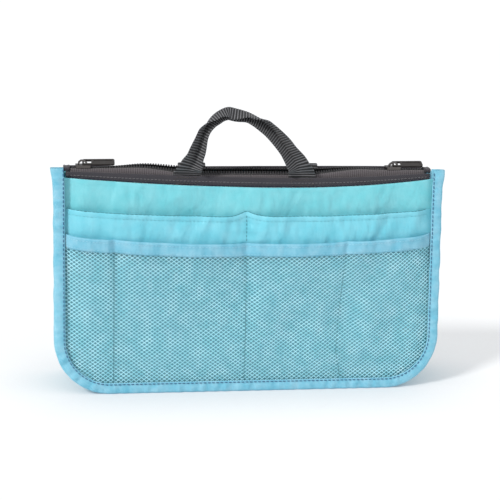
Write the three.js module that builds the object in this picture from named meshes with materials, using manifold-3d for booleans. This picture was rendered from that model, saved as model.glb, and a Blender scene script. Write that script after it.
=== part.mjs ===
// Purse organizer insert: a soft nylon pouch that stands inside a handbag.
// Two bound wall panels lean together over a folded base, with slip and mesh pockets outside,
// a zipped mouth with two sliders, and two webbing handles.
// Millimetres. X runs along the pouch, -Y is the front with the mesh pockets, +Z is up.
// The origin is at the middle of the footprint, on the surface that the pouch stands on.
import * as THREE from 'three';
import { mergeVertices } from 'three/addons/utils/BufferGeometryUtils.js';
import Module from 'manifold-3d';

const wasm = await Module();
wasm.setup();

// Pouch
const WIDTH = 284;
const HEIGHT = 162;
const BASE_HALF_DEPTH = 25;
const TOP_HALF_DEPTH = 8;
const CORNER_RADIUS = 40;

// Cloth
const PANEL_THICKNESS = 1.2;
const POCKET_THICKNESS = 0.6;
const GUSSET_THICKNESS = 0.6;
const NET_THICKNESS = 0.5;
const SEAM_GAP = 0.3;
const NET_GAP = 0.5;
const BAND_GAP = 0.7;
const BAND_CLEARANCE = 0.22;

// Wall panels
const PANEL_SWELL_LOW = 2.5;
const PANEL_SWELL_TOP = 3.4;
const SWELL_RUN = 60;
const FRONT_TOP_DROP = 7;
const FRONT_TOP_HEIGHT = HEIGHT - FRONT_TOP_DROP;
const FRONT_TOP_SAG = 6;
const FRONT_SAG_X = 30;
const BACK_TOP_DROP = 5;
const BACK_TOP_HEIGHT = HEIGHT - BACK_TOP_DROP;
const BACK_TOP_SAG = 3.5;
const BACK_SAG_X = -40;

// Binding tape folded over the seams
const BINDING_WALL = 0.6;
const BINDING_WIDTH = 8;
const BINDING_CLEARANCE = 0.3;

// Gusset
const GUSSET_SEAM_WIDTH = 8.6;
const GUSSET_TOP_DROP = 12.5;

// Pockets
const SLIP_TOP_DROP = 21.5;
const SLIP_TOP_HEIGHT = FRONT_TOP_HEIGHT - SLIP_TOP_DROP;
const SLIP_TOP_SAG = 4;
const SLIP_OPENING = 6.5;
const MESH_TOP_DROP = 18.5;
const MESH_TOP_HEIGHT = SLIP_TOP_HEIGHT - MESH_TOP_DROP;
const MESH_TOP_SAG = 5.4;
const MESH_OPENING = 5;
const LEFT_SEAM_X = -100;
const MIDDLE_SEAM_X = -4.6;
const RIGHT_SEAM_X = 66;
const BACK_POCKET_TOP_DROP = 39;
const BACK_POCKET_TOP_HEIGHT = BACK_TOP_HEIGHT - BACK_POCKET_TOP_DROP;
const BACK_POCKET_TOP_SAG = 3;
const BACK_POCKET_OPENING = 6.5;
const INNER_POCKET_HALF_WIDTH = 88;
const INNER_POCKET_BOTTOM = 24;
const INNER_POCKET_TOP_DROP = 23;
const INNER_POCKET_TOP = BACK_TOP_HEIGHT - INNER_POCKET_TOP_DROP;
const INNER_POCKET_OPENING = 6.8;

// Net of the mesh pockets, drawn coarse
const NET_CELL_WIDTH = 22;
const NET_CELL_HEIGHT = 18;
const NET_STRAND = 2.6;
const NET_RIM = 9.5;
const NET_BAND_HEIGHT = 8.5;
const NET_BAND_WALL = 0.5;

// Mouth facing, a dark tape that stands on the panels' top edges
const FACING_THICKNESS = 0.8;
const FACING_SEAM = 4;
const FACING_RISE_END = 3.5;
const FACING_RISE_MIDDLE = 7;

// Handles, of one webbing
const WEBBING_WIDTH = 20;
const WEBBING_THICKNESS = 1.2;
const HANDLE_LEFT_X = -48;
const HANDLE_RIGHT_X = 36.5;
const HANDLE_RISE = 47;
const HANDLE_SEAT = 0.4;
const BACK_HANDLE_SPAN = 84;
const BACK_HANDLE_DROP = 40;
const BACK_HANDLE_LEAN = 5;
const BACK_HANDLE_STANDOFF = 0.9;

// Zip
const CHAIN_DROP = 1.6;
const CHAIN_HEIGHT = HEIGHT - CHAIN_DROP;
const CHAIN_SAG = 5.5;
const CHAIN_LEVEL_RUN = 45;
const CHAIN_SAG_FULL = 35;
const TAPE_THICKNESS = 0.6;
const TAPE_SEAM_DROP = 3.6;
const TAPE_KNEE = 4.9;
const TAPE_EDGE = 3.1;
const TOOTH_PITCH = 4;
const TOOTH_LENGTH = 1.6;
const TOOTH_REACH = 0.9;
const TOOTH_HEIGHT = 2.4;
const BEAD_WIDTH = 1.5;
const BEAD_HEIGHT = 1.4;
const ZIP_END_INSET = 12;
const ZIP_END_X = WIDTH / 2 - ZIP_END_INSET;
const CHAIN_SAG_START = ZIP_END_X - CHAIN_LEVEL_RUN;
const FRONT_FOLD_Y = -9.6;
const FRONT_FOLD_DROP = 7.4;
const FRONT_FOLD_Z = FRONT_TOP_HEIGHT - FRONT_FOLD_DROP;
const FRONT_FOLD_ANGLE = 33;
const BACK_FOLD_Y = 9.5;
const BACK_FOLD_DROP = 6.5;
const BACK_FOLD_Z = BACK_TOP_HEIGHT - BACK_FOLD_DROP;
const BACK_FOLD_ANGLE = 40;
const FULL_OPENING_HALF = 55;
const OPENING_RUN = ZIP_END_X - FULL_OPENING_HALF;

// Zip sliders and pulls
const LEFT_SLIDER_INSET = 9;
const LEFT_SLIDER_X = LEFT_SLIDER_INSET - ZIP_END_X;
const RIGHT_SLIDER_INSET = 23;
const RIGHT_SLIDER_X = ZIP_END_X - RIGHT_SLIDER_INSET;
const SLIDER_LENGTH = 11;
const SLIDER_WIDTH = 9.4;
const SLIDER_TAIL_WIDTH = 8.6;
const SLIDER_PLATE = 1.1;
const SLIDER_CLEARANCE = 0.35;
const SLIDER_FLANGE = 0.9;
const WEDGE_LENGTH = 2.8;
const WEDGE_WIDTH = 1.2;
const CROWN_LENGTH = 8;
const CROWN_WIDTH = 2.4;
const CROWN_RISE = 4.4;
const CROWN_WIRE = 1.1;
const CROWN_FULLNESS = 0.87;
const PULL_LENGTH = 23;
const PULL_WIDTH = 6.6;
const PULL_THICKNESS = 1.2;
const PULL_BAR = 1.2;
const PULL_EYE_LENGTH = 5.2;
const PULL_EYE_WIDTH = 3.4;
const PULL_SLOPE = 1;

// Zip end tabs
const END_TAB_LENGTH = 7.4;
const END_TAB_WIDTH = 12;
const END_TAB_THICKNESS = 4.4;

// Facet counts
const CORNER_STEPS = 5;
const COLUMN_SPACING = 2.3;
const PATH_STEP = 8;
const TAPE_STEP = 8;
const HANDLE_STEPS = 34;

// Finishes
const finish = (color, roughness, metalness = 0) => ({ color, roughness, metalness });
const NYLON = finish(0x7fdfe6, 0.55);
const LINING = finish(0x78d3dc, 0.6);
const NET = finish(0x8fd0dc, 0.7);
const BINDING = finish(0x7cc2e4, 0.62);
const TAPE = finish(0x3d393c, 0.85);
const TEETH = finish(0x2b292b, 0.45);
const METAL = finish(0x55524f, 0.32, 0.9);
const WEBBING = finish(0x1d1d1f, 0.8);

const radians = THREE.MathUtils.degToRad;
const clamp = THREE.MathUtils.clamp;
const lerp = THREE.MathUtils.lerp;

function ease(share) {
  const t = clamp(share, 0, 1);
  return t * t * (3 - 2 * t);
}

const organizer = new THREE.Group();

function addMesh(name, geometry, look) {
  const mesh = new THREE.Mesh(geometry, new THREE.MeshStandardMaterial(look));
  mesh.name = name;
  organizer.add(mesh);
  return mesh;
}

// Outline of the pouch seen from the front, drawn in by a named amount
const straightHalf = WIDTH / 2 - CORNER_RADIUS;

function outlineHalf(inset) {
  return WIDTH / 2 - inset;
}

function outlineBottom(x, inset) {
  const radius = CORNER_RADIUS - inset;
  const past = Math.min(Math.abs(x) - straightHalf, radius);
  if (past <= 0) return inset;
  return CORNER_RADIUS - Math.sqrt(radius * radius - past * past);
}

// Sheets lie this far inside the binding's folded edge
const sheetInset = BINDING_WALL + BINDING_CLEARANCE;

// The seams lean together from the base to the mouth
function seamDepth(z) {
  return lerp(BASE_HALF_DEPTH, TOP_HALF_DEPTH, z / HEIGHT);
}

// The pockets' free edges stop at the binding's edge
const seamHalf = outlineHalf(BINDING_WIDTH);
const bandHalf = seamHalf - SEAM_GAP;

function seamTop(x) {
  const past = Math.max(Math.abs(x) - seamHalf, 0);
  return past > 0 ? CORNER_RADIUS + past : outlineBottom(x, BINDING_WIDTH);
}

// Depth of a wall's inner face, measured from the middle plane; it swells inside the binding
function wallDepth(x, z) {
  const across = Math.max(1 - (x / seamHalf) ** 2, 0);
  const up = ease((z - seamTop(x)) / SWELL_RUN);
  return seamDepth(z) + lerp(PANEL_SWELL_LOW, PANEL_SWELL_TOP, z / HEIGHT) * across * up;
}

function sagShare(x, lowest) {
  const reach = x < lowest ? lowest + seamHalf : seamHalf - lowest;
  return Math.max(1 - ((x - lowest) / reach) ** 2, 0);
}

const frontTop = (x) => FRONT_TOP_HEIGHT - FRONT_TOP_SAG * sagShare(x, FRONT_SAG_X);
const backTop = (x) => BACK_TOP_HEIGHT - BACK_TOP_SAG * sagShare(x, BACK_SAG_X);
const slipTop = (x) => SLIP_TOP_HEIGHT - SLIP_TOP_SAG * sagShare(x, 0);
const meshTop = (x) => MESH_TOP_HEIGHT - MESH_TOP_SAG * sagShare(x, 0);
const backPocketTop = (x) => BACK_POCKET_TOP_HEIGHT - BACK_POCKET_TOP_SAG * sagShare(x, 0);

// A pocket stands open between its stitched seams, more towards its top
function pocketSwell(x, z, seams, top, opening, fullness) {
  for (let i = 0; i < seams.length - 1; i += 1) {
    if (x > seams[i] && x < seams[i + 1]) {
      const middle = (seams[i] + seams[i + 1]) / 2;
      const half = (seams[i + 1] - seams[i]) / 2;
      const across = 1 - ((x - middle) / half) ** 4;
      const bottom = seamTop(x);
      const up = clamp((z - bottom) / (top(x) - bottom), 0, 1);
      return opening * across * up ** fullness;
    }
  }
  return 0;
}

const slipSeams = [-bandHalf, MIDDLE_SEAM_X, bandHalf];
const meshSeams = [-bandHalf, LEFT_SEAM_X, MIDDLE_SEAM_X, RIGHT_SEAM_X, bandHalf];
const backSeams = [-bandHalf, 0, bandHalf];

const panelOuter = (x, z) => wallDepth(x, z) + PANEL_THICKNESS;
const slipSwell = (x, z) => pocketSwell(x, z, slipSeams, slipTop, SLIP_OPENING, 3);
const slipInner = (x, z) => panelOuter(x, z) + SEAM_GAP + slipSwell(x, z);
const slipOuter = (x, z) => slipInner(x, z) + POCKET_THICKNESS;

function netInner(x, z) {
  const band = clamp(1 - (meshTop(x) - z) / (2 * NET_BAND_HEIGHT), 0, 1);
  const swell = pocketSwell(x, z, meshSeams, meshTop, MESH_OPENING, 3 / 2);
  return slipOuter(x, z) + NET_GAP + BAND_GAP * band + swell;
}

function backPocketInner(x, z) {
  const swell = pocketSwell(x, z, backSeams, backPocketTop, BACK_POCKET_OPENING, 3);
  return panelOuter(x, z) + SEAM_GAP + swell;
}

// Places along a wall where its sheets have their columns: the corners' arcs, the seams and between them
function wallColumns(inset) {
  const half = outlineHalf(inset);
  const betweenShares = [0.12, 0.35, 0.65, 0.88];
  const places = new Set();
  for (let i = 0; i <= CORNER_STEPS; i += 1) {
    const across = straightHalf + (half - straightHalf) * Math.sin((i / CORNER_STEPS) * Math.PI / 2);
    places.add(across);
    places.add(-across);
  }
  const stops = [LEFT_SEAM_X, MIDDLE_SEAM_X, RIGHT_SEAM_X, straightHalf];
  for (let i = 0; i < stops.length - 1; i += 1) {
    places.add(stops[i]);
    for (const share of betweenShares) places.add(lerp(stops[i], stops[i + 1], share));
  }
  const kept = [...places].filter((x) => Math.abs(Math.abs(x) - bandHalf) > COLUMN_SPACING);
  return [...kept, -bandHalf, bandHalf].sort((a, b) => a - b);
}

// A closed shell between two grids of points with the same rows and columns
function shellGeometry(outer, inner) {
  const rows = outer.length;
  const columns = outer[0].length;
  const positions = [...outer.flat(), ...inner.flat()].flatMap((p) => [p.x, p.y, p.z]);
  const index = [];
  const at = (side, j, i) => side * rows * columns + j * columns + i;
  for (let j = 0; j < rows - 1; j += 1) {
    for (let i = 0; i < columns - 1; i += 1) {
      index.push(at(0, j, i), at(0, j, i + 1), at(0, j + 1, i + 1));
      index.push(at(0, j, i), at(0, j + 1, i + 1), at(0, j + 1, i));
      index.push(at(1, j, i), at(1, j + 1, i + 1), at(1, j, i + 1));
      index.push(at(1, j, i), at(1, j + 1, i), at(1, j + 1, i + 1));
    }
  }
  const rim = [];
  for (let i = 0; i < columns - 1; i += 1) rim.push([0, i]);
  for (let j = 0; j < rows - 1; j += 1) rim.push([j, columns - 1]);
  for (let i = columns - 1; i > 0; i -= 1) rim.push([rows - 1, i]);
  for (let j = rows - 1; j > 0; j -= 1) rim.push([j, 0]);
  for (let k = 0; k < rim.length; k += 1) {
    const [j0, i0] = rim[k];
    const [j1, i1] = rim[(k + 1) % rim.length];
    index.push(at(0, j0, i0), at(1, j1, i1), at(0, j1, i1));
    index.push(at(0, j0, i0), at(1, j0, i0), at(1, j1, i1));
  }
  return closedGeometry(positions, index);
}

// Faces are turned to point out of the body
function closedGeometry(positions, index) {
  let volume = 0;
  const a = new THREE.Vector3();
  const b = new THREE.Vector3();
  const c = new THREE.Vector3();
  for (let i = 0; i < index.length; i += 3) {
    a.fromArray(positions, 3 * index[i]);
    b.fromArray(positions, 3 * index[i + 1]);
    c.fromArray(positions, 3 * index[i + 2]);
    volume += a.dot(b.cross(c));
  }
  const turned = volume < 0 ? index.slice().reverse() : index;
  const geometry = new THREE.BufferGeometry();
  geometry.setAttribute('position', new THREE.Float32BufferAttribute(positions, 3));
  geometry.setIndex(turned);
  return geometry;
}

// A body swept through a list of sections that have the same corners in the same order
function sweptGeometry(sections, flatSection) {
  const corners = sections[0].length;
  const positions = sections.flat().flatMap((p) => [p.x, p.y, p.z]);
  const index = [];
  for (let j = 0; j < sections.length - 1; j += 1) {
    for (let i = 0; i < corners; i += 1) {
      const k = (i + 1) % corners;
      const a = j * corners;
      const b = (j + 1) * corners;
      index.push(a + i, a + k, b + k, a + i, b + k, b + i);
    }
  }
  const flat = flatSection.map(([u, v]) => new THREE.Vector2(u, v));
  const last = (sections.length - 1) * corners;
  const turns = THREE.ShapeUtils.isClockWise(flat) ? -1 : 1;
  for (const face of THREE.ShapeUtils.triangulateShape(flat, [])) {
    const [p, q, r] = turns > 0 ? face : [face[0], face[2], face[1]];
    index.push(p, r, q, last + p, last + q, last + r);
  }
  return closedGeometry(positions, index);
}

// Rows of a wall's sheets, from the outline's edge up; sheets that lie on each other share them
const rowShares = [0.25, 0.5, 0.75];
const netFoot = (x) => meshTop(x) - 2 * NET_BAND_HEIGHT;
const bandFoot = (x) => meshTop(x) - NET_BAND_HEIGHT;
const between = (low, high, share) => (x) => lerp(low(x), high(x), share);
const edge = (x) => outlineBottom(x, sheetInset);
const netRows = [
  edge,
  seamTop,
  ...rowShares.map((v) => between(seamTop, netFoot, v)),
  netFoot,
  bandFoot,
  meshTop,
];
const slipRows = [...netRows, slipTop];
const frontRows = [...slipRows, frontTop];
const backPocketRows = [
  edge,
  seamTop,
  ...rowShares.map((v) => between(seamTop, backPocketTop, v)),
  backPocketTop,
];
const backRows = [...backPocketRows, between(backPocketTop, backTop, 1 / 2), backTop];

// A wall sheet is a height field over the outline
function wallSheet(rows, innerDepth, outerDepth, side) {
  const columns = wallColumns(sheetInset);
  const layer = (depth) => rows.map((row) => columns.map((x) => {
    const z = row(x);
    return new THREE.Vector3(x, side * depth(x, z), z);
  }));
  return shellGeometry(layer(outerDepth), layer(innerDepth));
}

function addWalls() {
  addMesh('front_panel', wallSheet(frontRows, wallDepth, panelOuter, -1), NYLON);
  addMesh('back_panel', wallSheet(backRows, wallDepth, panelOuter, 1), NYLON);
  addMesh('front_slip_pocket', wallSheet(slipRows, slipInner, slipOuter, -1), NYLON);
  const backOuter = (x, z) => backPocketInner(x, z) + POCKET_THICKNESS;
  addMesh('back_slip_pocket', wallSheet(backPocketRows, backPocketInner, backOuter, 1), NYLON);
}

// Stations along the seam from the top of one side, round both corners, to the top of the other
function seamStations(inset, fromShare, toShare) {
  const half = outlineHalf(inset);
  const radius = CORNER_RADIUS - inset;
  const side = HEIGHT - CORNER_RADIUS;
  const arc = radius * Math.PI / 2;
  const total = 2 * (side + arc) + 2 * straightHalf;
  const marks = [0, side, side + arc, side + arc + 2 * straightHalf, total - side, total];
  const counts = [Math.ceil(side / PATH_STEP), CORNER_STEPS, Math.ceil(2 * straightHalf / PATH_STEP)];
  const steps = [counts[0], counts[1], counts[2], counts[1], counts[0]];
  const lengths = [];
  for (let i = 0; i < steps.length; i += 1) {
    for (let k = 0; k < steps[i]; k += 1) lengths.push(lerp(marks[i], marks[i + 1], k / steps[i]));
  }
  lengths.push(total);
  const from = fromShare * total;
  const to = toShare * total;
  const kept = [from, ...lengths.filter((s) => s > from + SEAM_GAP && s < to - SEAM_GAP), to];
  return kept.map((s) => {
    if (s <= marks[1]) return { x: -half, z: HEIGHT - s, nx: 1, nz: 0 };
    if (s >= marks[4]) return { x: half, z: CORNER_RADIUS + s - marks[4], nx: -1, nz: 0 };
    if (s >= marks[2] && s <= marks[3]) return { x: s - marks[2] - straightHalf, z: inset, nx: 0, nz: 1 };
    const left = s < marks[2];
    const turn = left ? (s - marks[1]) / radius : (marks[4] - s) / radius;
    const sign = left ? -1 : 1;
    return {
      x: sign * (straightHalf + radius * Math.cos(turn)),
      z: CORNER_RADIUS - radius * Math.sin(turn),
      nx: -sign * Math.cos(turn),
      nz: Math.sin(turn),
    };
  });
}

// Binding: a folded tape whose two legs hold every layer that is sewn into the seam
const slotInner = SEAM_GAP + GUSSET_THICKNESS + BINDING_CLEARANCE;
const slotStack = PANEL_THICKNESS + SEAM_GAP + POCKET_THICKNESS + NET_GAP + BAND_GAP + NET_THICKNESS;
const slotOuter = slotStack + BINDING_CLEARANCE;

function bindingGeometry(side) {
  const wall = BINDING_WALL;
  const flat = [
    [0, -slotInner - wall],
    [0, slotOuter + wall],
    [BINDING_WIDTH, slotOuter + wall],
    [BINDING_WIDTH, slotOuter],
    [wall, slotOuter],
    [wall, -slotInner],
    [BINDING_WIDTH, -slotInner],
    [BINDING_WIDTH, -slotInner - wall],
  ];
  const sections = seamStations(0, 0, 1).map((s) => flat.map(([n, out]) => {
    const z = s.z + s.nz * n;
    return new THREE.Vector3(s.x + s.nx * n, side * (seamDepth(z) + out), z);
  }));
  return sweptGeometry(sections, flat);
}

// Gusset: flanges sewn into both seams, and a web that folds inward up the sides
function pleatDepth(z) {
  const web = seamDepth(0);
  const half = seamDepth(z);
  return Math.sqrt(Math.max(web * web - half * half, 0));
}

function gussetGeometry(fromShare, toShare) {
  const t = GUSSET_THICKNESS;
  const seam = SEAM_GAP;
  const stations = seamStations(sheetInset, fromShare, toShare);
  const section = (s) => {
    const place = (n, inward) => {
      const z = s.z + s.nz * n;
      return { x: s.x + s.nx * n, z, y: seamDepth(z) - inward };
    };
    const flange = GUSSET_SEAM_WIDTH;
    const fold = flange + pleatDepth(s.z);
    const half = [
      place(0, seam),
      place(flange, seam),
      place(flange, seam + t),
      place(0, seam + t),
    ];
    const middleOut = place(fold + t, 0);
    const middleIn = place(fold, 0);
    const front = half.map((p) => new THREE.Vector3(p.x, -p.y, p.z));
    const back = half.map((p) => new THREE.Vector3(p.x, p.y, p.z));
    const outFold = place(flange + t, seam);
    const frontOut = new THREE.Vector3(outFold.x, -outFold.y, outFold.z);
    const backOut = new THREE.Vector3(outFold.x, outFold.y, outFold.z);
    return [
      front[0],
      frontOut,
      new THREE.Vector3(middleOut.x, 0, middleOut.z),
      backOut,
      back[0],
      back[3],
      back[2],
      new THREE.Vector3(middleIn.x, 0, middleIn.z),
      front[2],
      front[3],
    ];
  };
  const wide = seamDepth(0);
  const flat = [
    [0, -wide],
    [GUSSET_SEAM_WIDTH + t, -wide],
    [2 * GUSSET_SEAM_WIDTH, 0],
    [GUSSET_SEAM_WIDTH + t, wide],
    [0, wide],
    [0, wide - t],
    [GUSSET_SEAM_WIDTH, wide - t],
    [2 * GUSSET_SEAM_WIDTH - t, 0],
    [GUSSET_SEAM_WIDTH, t - wide],
    [0, t - wide],
  ];
  return sweptGeometry(stations.map(section), flat);
}

function addSeams() {
  addMesh('front_binding', bindingGeometry(-1), BINDING);
  addMesh('back_binding', bindingGeometry(1), BINDING);
  const side = HEIGHT - CORNER_RADIUS;
  const total = 2 * side + Math.PI * (CORNER_RADIUS - sheetInset) + 2 * straightHalf;
  const start = GUSSET_TOP_DROP / total;
  const joint = side / total;
  const gap = SEAM_GAP / total;
  const sideGusset = gussetGeometry(start, joint);
  addMesh('left_side_gusset', sideGusset, LINING);
  addMesh('bottom_gusset', gussetGeometry(joint + gap, 1 - joint - gap), LINING);
  addMesh('right_side_gusset', sideGusset.clone().rotateZ(Math.PI), LINING);
}

// Solids for the cut and joined pieces
function solid(geometry) {
  const bare = geometry.clone();
  bare.deleteAttribute('normal');
  bare.deleteAttribute('uv');
  const merged = mergeVertices(bare);
  return new wasm.Manifold(new wasm.Mesh({
    numProp: 3,
    vertProperties: Float32Array.from(merged.attributes.position.array),
    triVerts: Uint32Array.from(merged.index.array),
  }));
}

function geometryOf(body) {
  const mesh = body.getMesh();
  const geometry = new THREE.BufferGeometry();
  geometry.setAttribute('position', new THREE.BufferAttribute(Float32Array.from(mesh.vertProperties), 3));
  geometry.setIndex(new THREE.BufferAttribute(Uint32Array.from(mesh.triVerts), 1));
  return geometry;
}

// A flat plate drawn in X and Y, from z upwards
function plate(shape, z, height, curveSegments = 5) {
  const geometry = new THREE.ExtrudeGeometry(shape, { depth: height, bevelEnabled: false, curveSegments });
  geometry.translate(0, 0, z);
  return solid(geometry);
}

function block(x, y, z, length, width, height) {
  const geometry = new THREE.BoxGeometry(length, width, height);
  geometry.translate(x, y, z);
  return solid(geometry);
}

// The part of a polygon on the near side of a line, the line given by its normal and its distance
function clipped(polygon, [nx, nz], limit) {
  const kept = [];
  const past = ([x, z]) => x * nx + z * nz - limit;
  polygon.forEach((p, i) => {
    const q = polygon[(i + 1) % polygon.length];
    const a = past(p);
    const b = past(q);
    if (a <= 0) kept.push(p);
    if (a * b < 0) kept.push([lerp(p[0], q[0], a / (a - b)), lerp(p[1], q[1], a / (a - b))]);
  });
  return kept;
}

function polygonArea(polygon) {
  return Math.abs(THREE.ShapeUtils.area(polygon.map(([x, z]) => new THREE.Vector2(x, z))));
}

// Diamond gaps of the net, staggered row by row and cut off along the seams and the edge band
function netGaps() {
  const reachX = (NET_CELL_WIDTH - NET_STRAND) / 2;
  const reachZ = (NET_CELL_HEIGHT - NET_STRAND) / 2;
  const acrossCount = Math.ceil(WIDTH / 2 / NET_CELL_WIDTH);
  const upCount = Math.ceil(2 * MESH_TOP_HEIGHT / NET_CELL_HEIGHT);
  const gaps = [];
  for (let j = 0; j <= upCount; j += 1) {
    const z = NET_RIM + j * NET_CELL_HEIGHT / 2;
    const stagger = j % 2 === 0 ? 0 : 1 / 2;
    for (let i = -acrossCount; i < acrossCount + 1 - stagger; i += 1) {
      const x = (i + stagger) * NET_CELL_WIDTH;
      const side = Math.sign(x) || 1;
      let gap = [[x - reachX, z], [x, z - reachZ], [x + reachX, z], [x, z + reachZ]];
      const whole = polygonArea(gap);
      gap = clipped(gap, [side, 0], outlineHalf(NET_RIM));
      gap = clipped(gap, [0, -1], -NET_RIM);
      gap = clipped(gap, [0, 1], meshTop(x) - NET_BAND_HEIGHT - NET_STRAND / 2);
      const dx = Math.abs(x) - straightHalf;
      const dz = z - CORNER_RADIUS;
      if (dx > 0 && dz < 0) {
        const length = Math.hypot(dx, dz);
        const normal = [side * dx / length, dz / length];
        const centre = side * straightHalf * normal[0] + CORNER_RADIUS * normal[1];
        gap = clipped(gap, normal, centre + CORNER_RADIUS - NET_RIM);
      }
      if (gap.length > 2 && polygonArea(gap) > whole / 4) gaps.push(gap);
    }
  }
  return gaps;
}

function netGeometry() {
  const outer = (x, z) => netInner(x, z) + NET_THICKNESS;
  const sheet = solid(wallSheet(netRows, netInner, outer, -1));
  const deep = 2 * BASE_HALF_DEPTH;
  const cutters = netGaps().map((gap) => {
    const shape = new THREE.Shape(gap.map(([x, z]) => new THREE.Vector2(x, z)));
    const geometry = new THREE.ExtrudeGeometry(shape, { depth: deep, bevelEnabled: false });
    geometry.rotateX(Math.PI / 2);
    return solid(geometry);
  });
  return geometryOf(cutters.reduce((rest, cutter) => rest.subtract(cutter), sheet));
}

// Binding over the net's top edge: a front leg, a roll over the edge and a short leg behind
function meshBandGeometry() {
  const columns = wallColumns(sheetInset).filter((x) => Math.abs(x) <= bandHalf);
  const wall = NET_BAND_WALL;
  const gap = BAND_CLEARANCE;
  const lip = NET_BAND_HEIGHT / 3;
  const flat = [
    [-lip, -gap - wall],
    [gap + wall, -gap - wall],
    [gap + wall, NET_THICKNESS + gap + wall],
    [-NET_BAND_HEIGHT, NET_THICKNESS + gap + wall],
    [-NET_BAND_HEIGHT, NET_THICKNESS + gap],
    [gap, NET_THICKNESS + gap],
    [gap, -gap],
    [-lip, -gap],
  ];
  const sections = columns.map((x) => flat.map(([up, out]) => {
    const foot = netInner(x, bandFoot(x));
    const share = clamp(1 + up / NET_BAND_HEIGHT, 0, 1);
    return new THREE.Vector3(x, -lerp(foot, netInner(x, meshTop(x)), share) - out, meshTop(x) + up);
  }));
  return sweptGeometry(sections, flat);
}

// Inner pocket: a patch on the back wall's lining, sewn along its sides and bottom
function innerPocketGeometry() {
  const columnShares = [-1, -0.96, -0.85, -0.62, -0.32, 0, 0.32, 0.62, 0.85, 0.96, 1];
  const rowShares = [0, 0.12, 0.35, 0.6, 0.8, 1];
  const layer = (extra) => rowShares.map((v) => columnShares.map((u) => {
    const x = INNER_POCKET_HALF_WIDTH * u;
    const z = lerp(INNER_POCKET_BOTTOM, INNER_POCKET_TOP, v);
    const swell = INNER_POCKET_OPENING * (1 - u ** 4) * v;
    return new THREE.Vector3(x, wallDepth(x, z) - SEAM_GAP - swell - extra, z);
  }));
  return shellGeometry(layer(0), layer(POCKET_THICKNESS));
}

function addPockets() {
  addMesh('mesh_pocket', netGeometry(), NET);
  addMesh('mesh_pocket_band', meshBandGeometry(), BINDING);
  addMesh('inner_back_pocket', innerPocketGeometry(), LINING);
}

// Even places between two ends, no further apart than a step
function evenPlaces(from, to, step) {
  const count = Math.ceil((to - from) / step);
  return Array.from({ length: count + 1 }, (_, i) => lerp(from, to, i / count));
}

// Mouth facing: stands inside the panel's top edge and rises above it
const facingInner = SEAM_GAP + FACING_THICKNESS;

function facingRise(x) {
  return lerp(FACING_RISE_END, FACING_RISE_MIDDLE, Math.sqrt(sagShare(x, 0)));
}

function facingGeometry(top, side) {
  const reach = outlineHalf(BINDING_WIDTH) - SEAM_GAP;
  const flat = [
    [-FACING_SEAM, SEAM_GAP],
    [0, SEAM_GAP],
    [1, SEAM_GAP],
    [1, facingInner],
    [0, facingInner],
    [-FACING_SEAM, facingInner],
  ];
  const sections = evenPlaces(-reach, reach, TAPE_STEP + 2 * SEAM_GAP).map((x) => flat.map(([up, inward]) => {
    const z = top(x) + (up > 0 ? facingRise(x) : up);
    const depth = wallDepth(x, Math.min(z, top(x))) - inward;
    return new THREE.Vector3(x, side * depth, z);
  }));
  return sweptGeometry(sections, flat);
}

// Zip: each side is drawn closed and then folded back about the line where its tape is sewn
const openLeft = LEFT_SLIDER_X + SLIDER_LENGTH / 2;
const openRight = RIGHT_SLIDER_X - SLIDER_LENGTH / 2;

function openShare(x) {
  return Math.min(ease((x - openLeft) / OPENING_RUN), ease((openRight - x) / OPENING_RUN));
}

function chainHeight(x) {
  const sag = ease((CHAIN_SAG_START - Math.abs(x)) / (CHAIN_SAG_START - CHAIN_SAG_FULL));
  return CHAIN_HEIGHT - CHAIN_SAG * sag;
}

const frontSide = {
  side: -1,
  top: frontTop,
  foldY: FRONT_FOLD_Y,
  foldZ: FRONT_FOLD_Z,
  angle: FRONT_FOLD_ANGLE,
};
const backSide = { side: 1, top: backTop, foldY: BACK_FOLD_Y, foldZ: BACK_FOLD_Z, angle: BACK_FOLD_ANGLE };

function foldBack(zip, x, y, z) {
  const turn = -zip.side * radians(zip.angle) * openShare(x);
  const dy = y - zip.foldY;
  const dz = z - zip.foldZ;
  const cos = Math.cos(turn);
  const sin = Math.sin(turn);
  return new THREE.Vector3(x, zip.foldY + dy * cos - dz * sin, zip.foldZ + dy * sin + dz * cos);
}

// The webbing of the handles lies between the facing and the tape
const tapeInward = facingInner + SEAM_GAP + WEBBING_THICKNESS + SEAM_GAP;

function tapeGeometry(zip) {
  const t = TAPE_THICKNESS;
  const sections = evenPlaces(-ZIP_END_X, ZIP_END_X, TAPE_STEP).map((x) => {
    const seamZ = zip.top(x) - TAPE_SEAM_DROP;
    const chainZ = chainHeight(x);
    const sewn = wallDepth(x, seamZ) - tapeInward;
    const corners = [
      [sewn, seamZ],
      [sewn, seamZ + BEAD_HEIGHT],
      [TAPE_KNEE + t, chainZ + t / 2],
      [TAPE_EDGE, chainZ + t / 2],
      [TAPE_EDGE, chainZ - t / 2],
      [TAPE_KNEE, chainZ - t / 2],
      [sewn - t, seamZ + BEAD_HEIGHT],
      [sewn - t, seamZ],
    ];
    return corners.map(([depth, z]) => foldBack(zip, x, zip.side * depth, z));
  });
  return sweptGeometry(sections, [[0, 0], [0, 1], [2, 5], [4, 5], [4, 4], [3, 4], [1, 1], [1, 0]]);
}

// The rows have no teeth where a slider's wedge stands between them
const wedgeInset = (SLIDER_LENGTH - WEDGE_LENGTH) / 2 - SLIDER_PLATE / 2;
const wedgePlaces = [LEFT_SLIDER_X + wedgeInset, RIGHT_SLIDER_X - wedgeInset];

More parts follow.
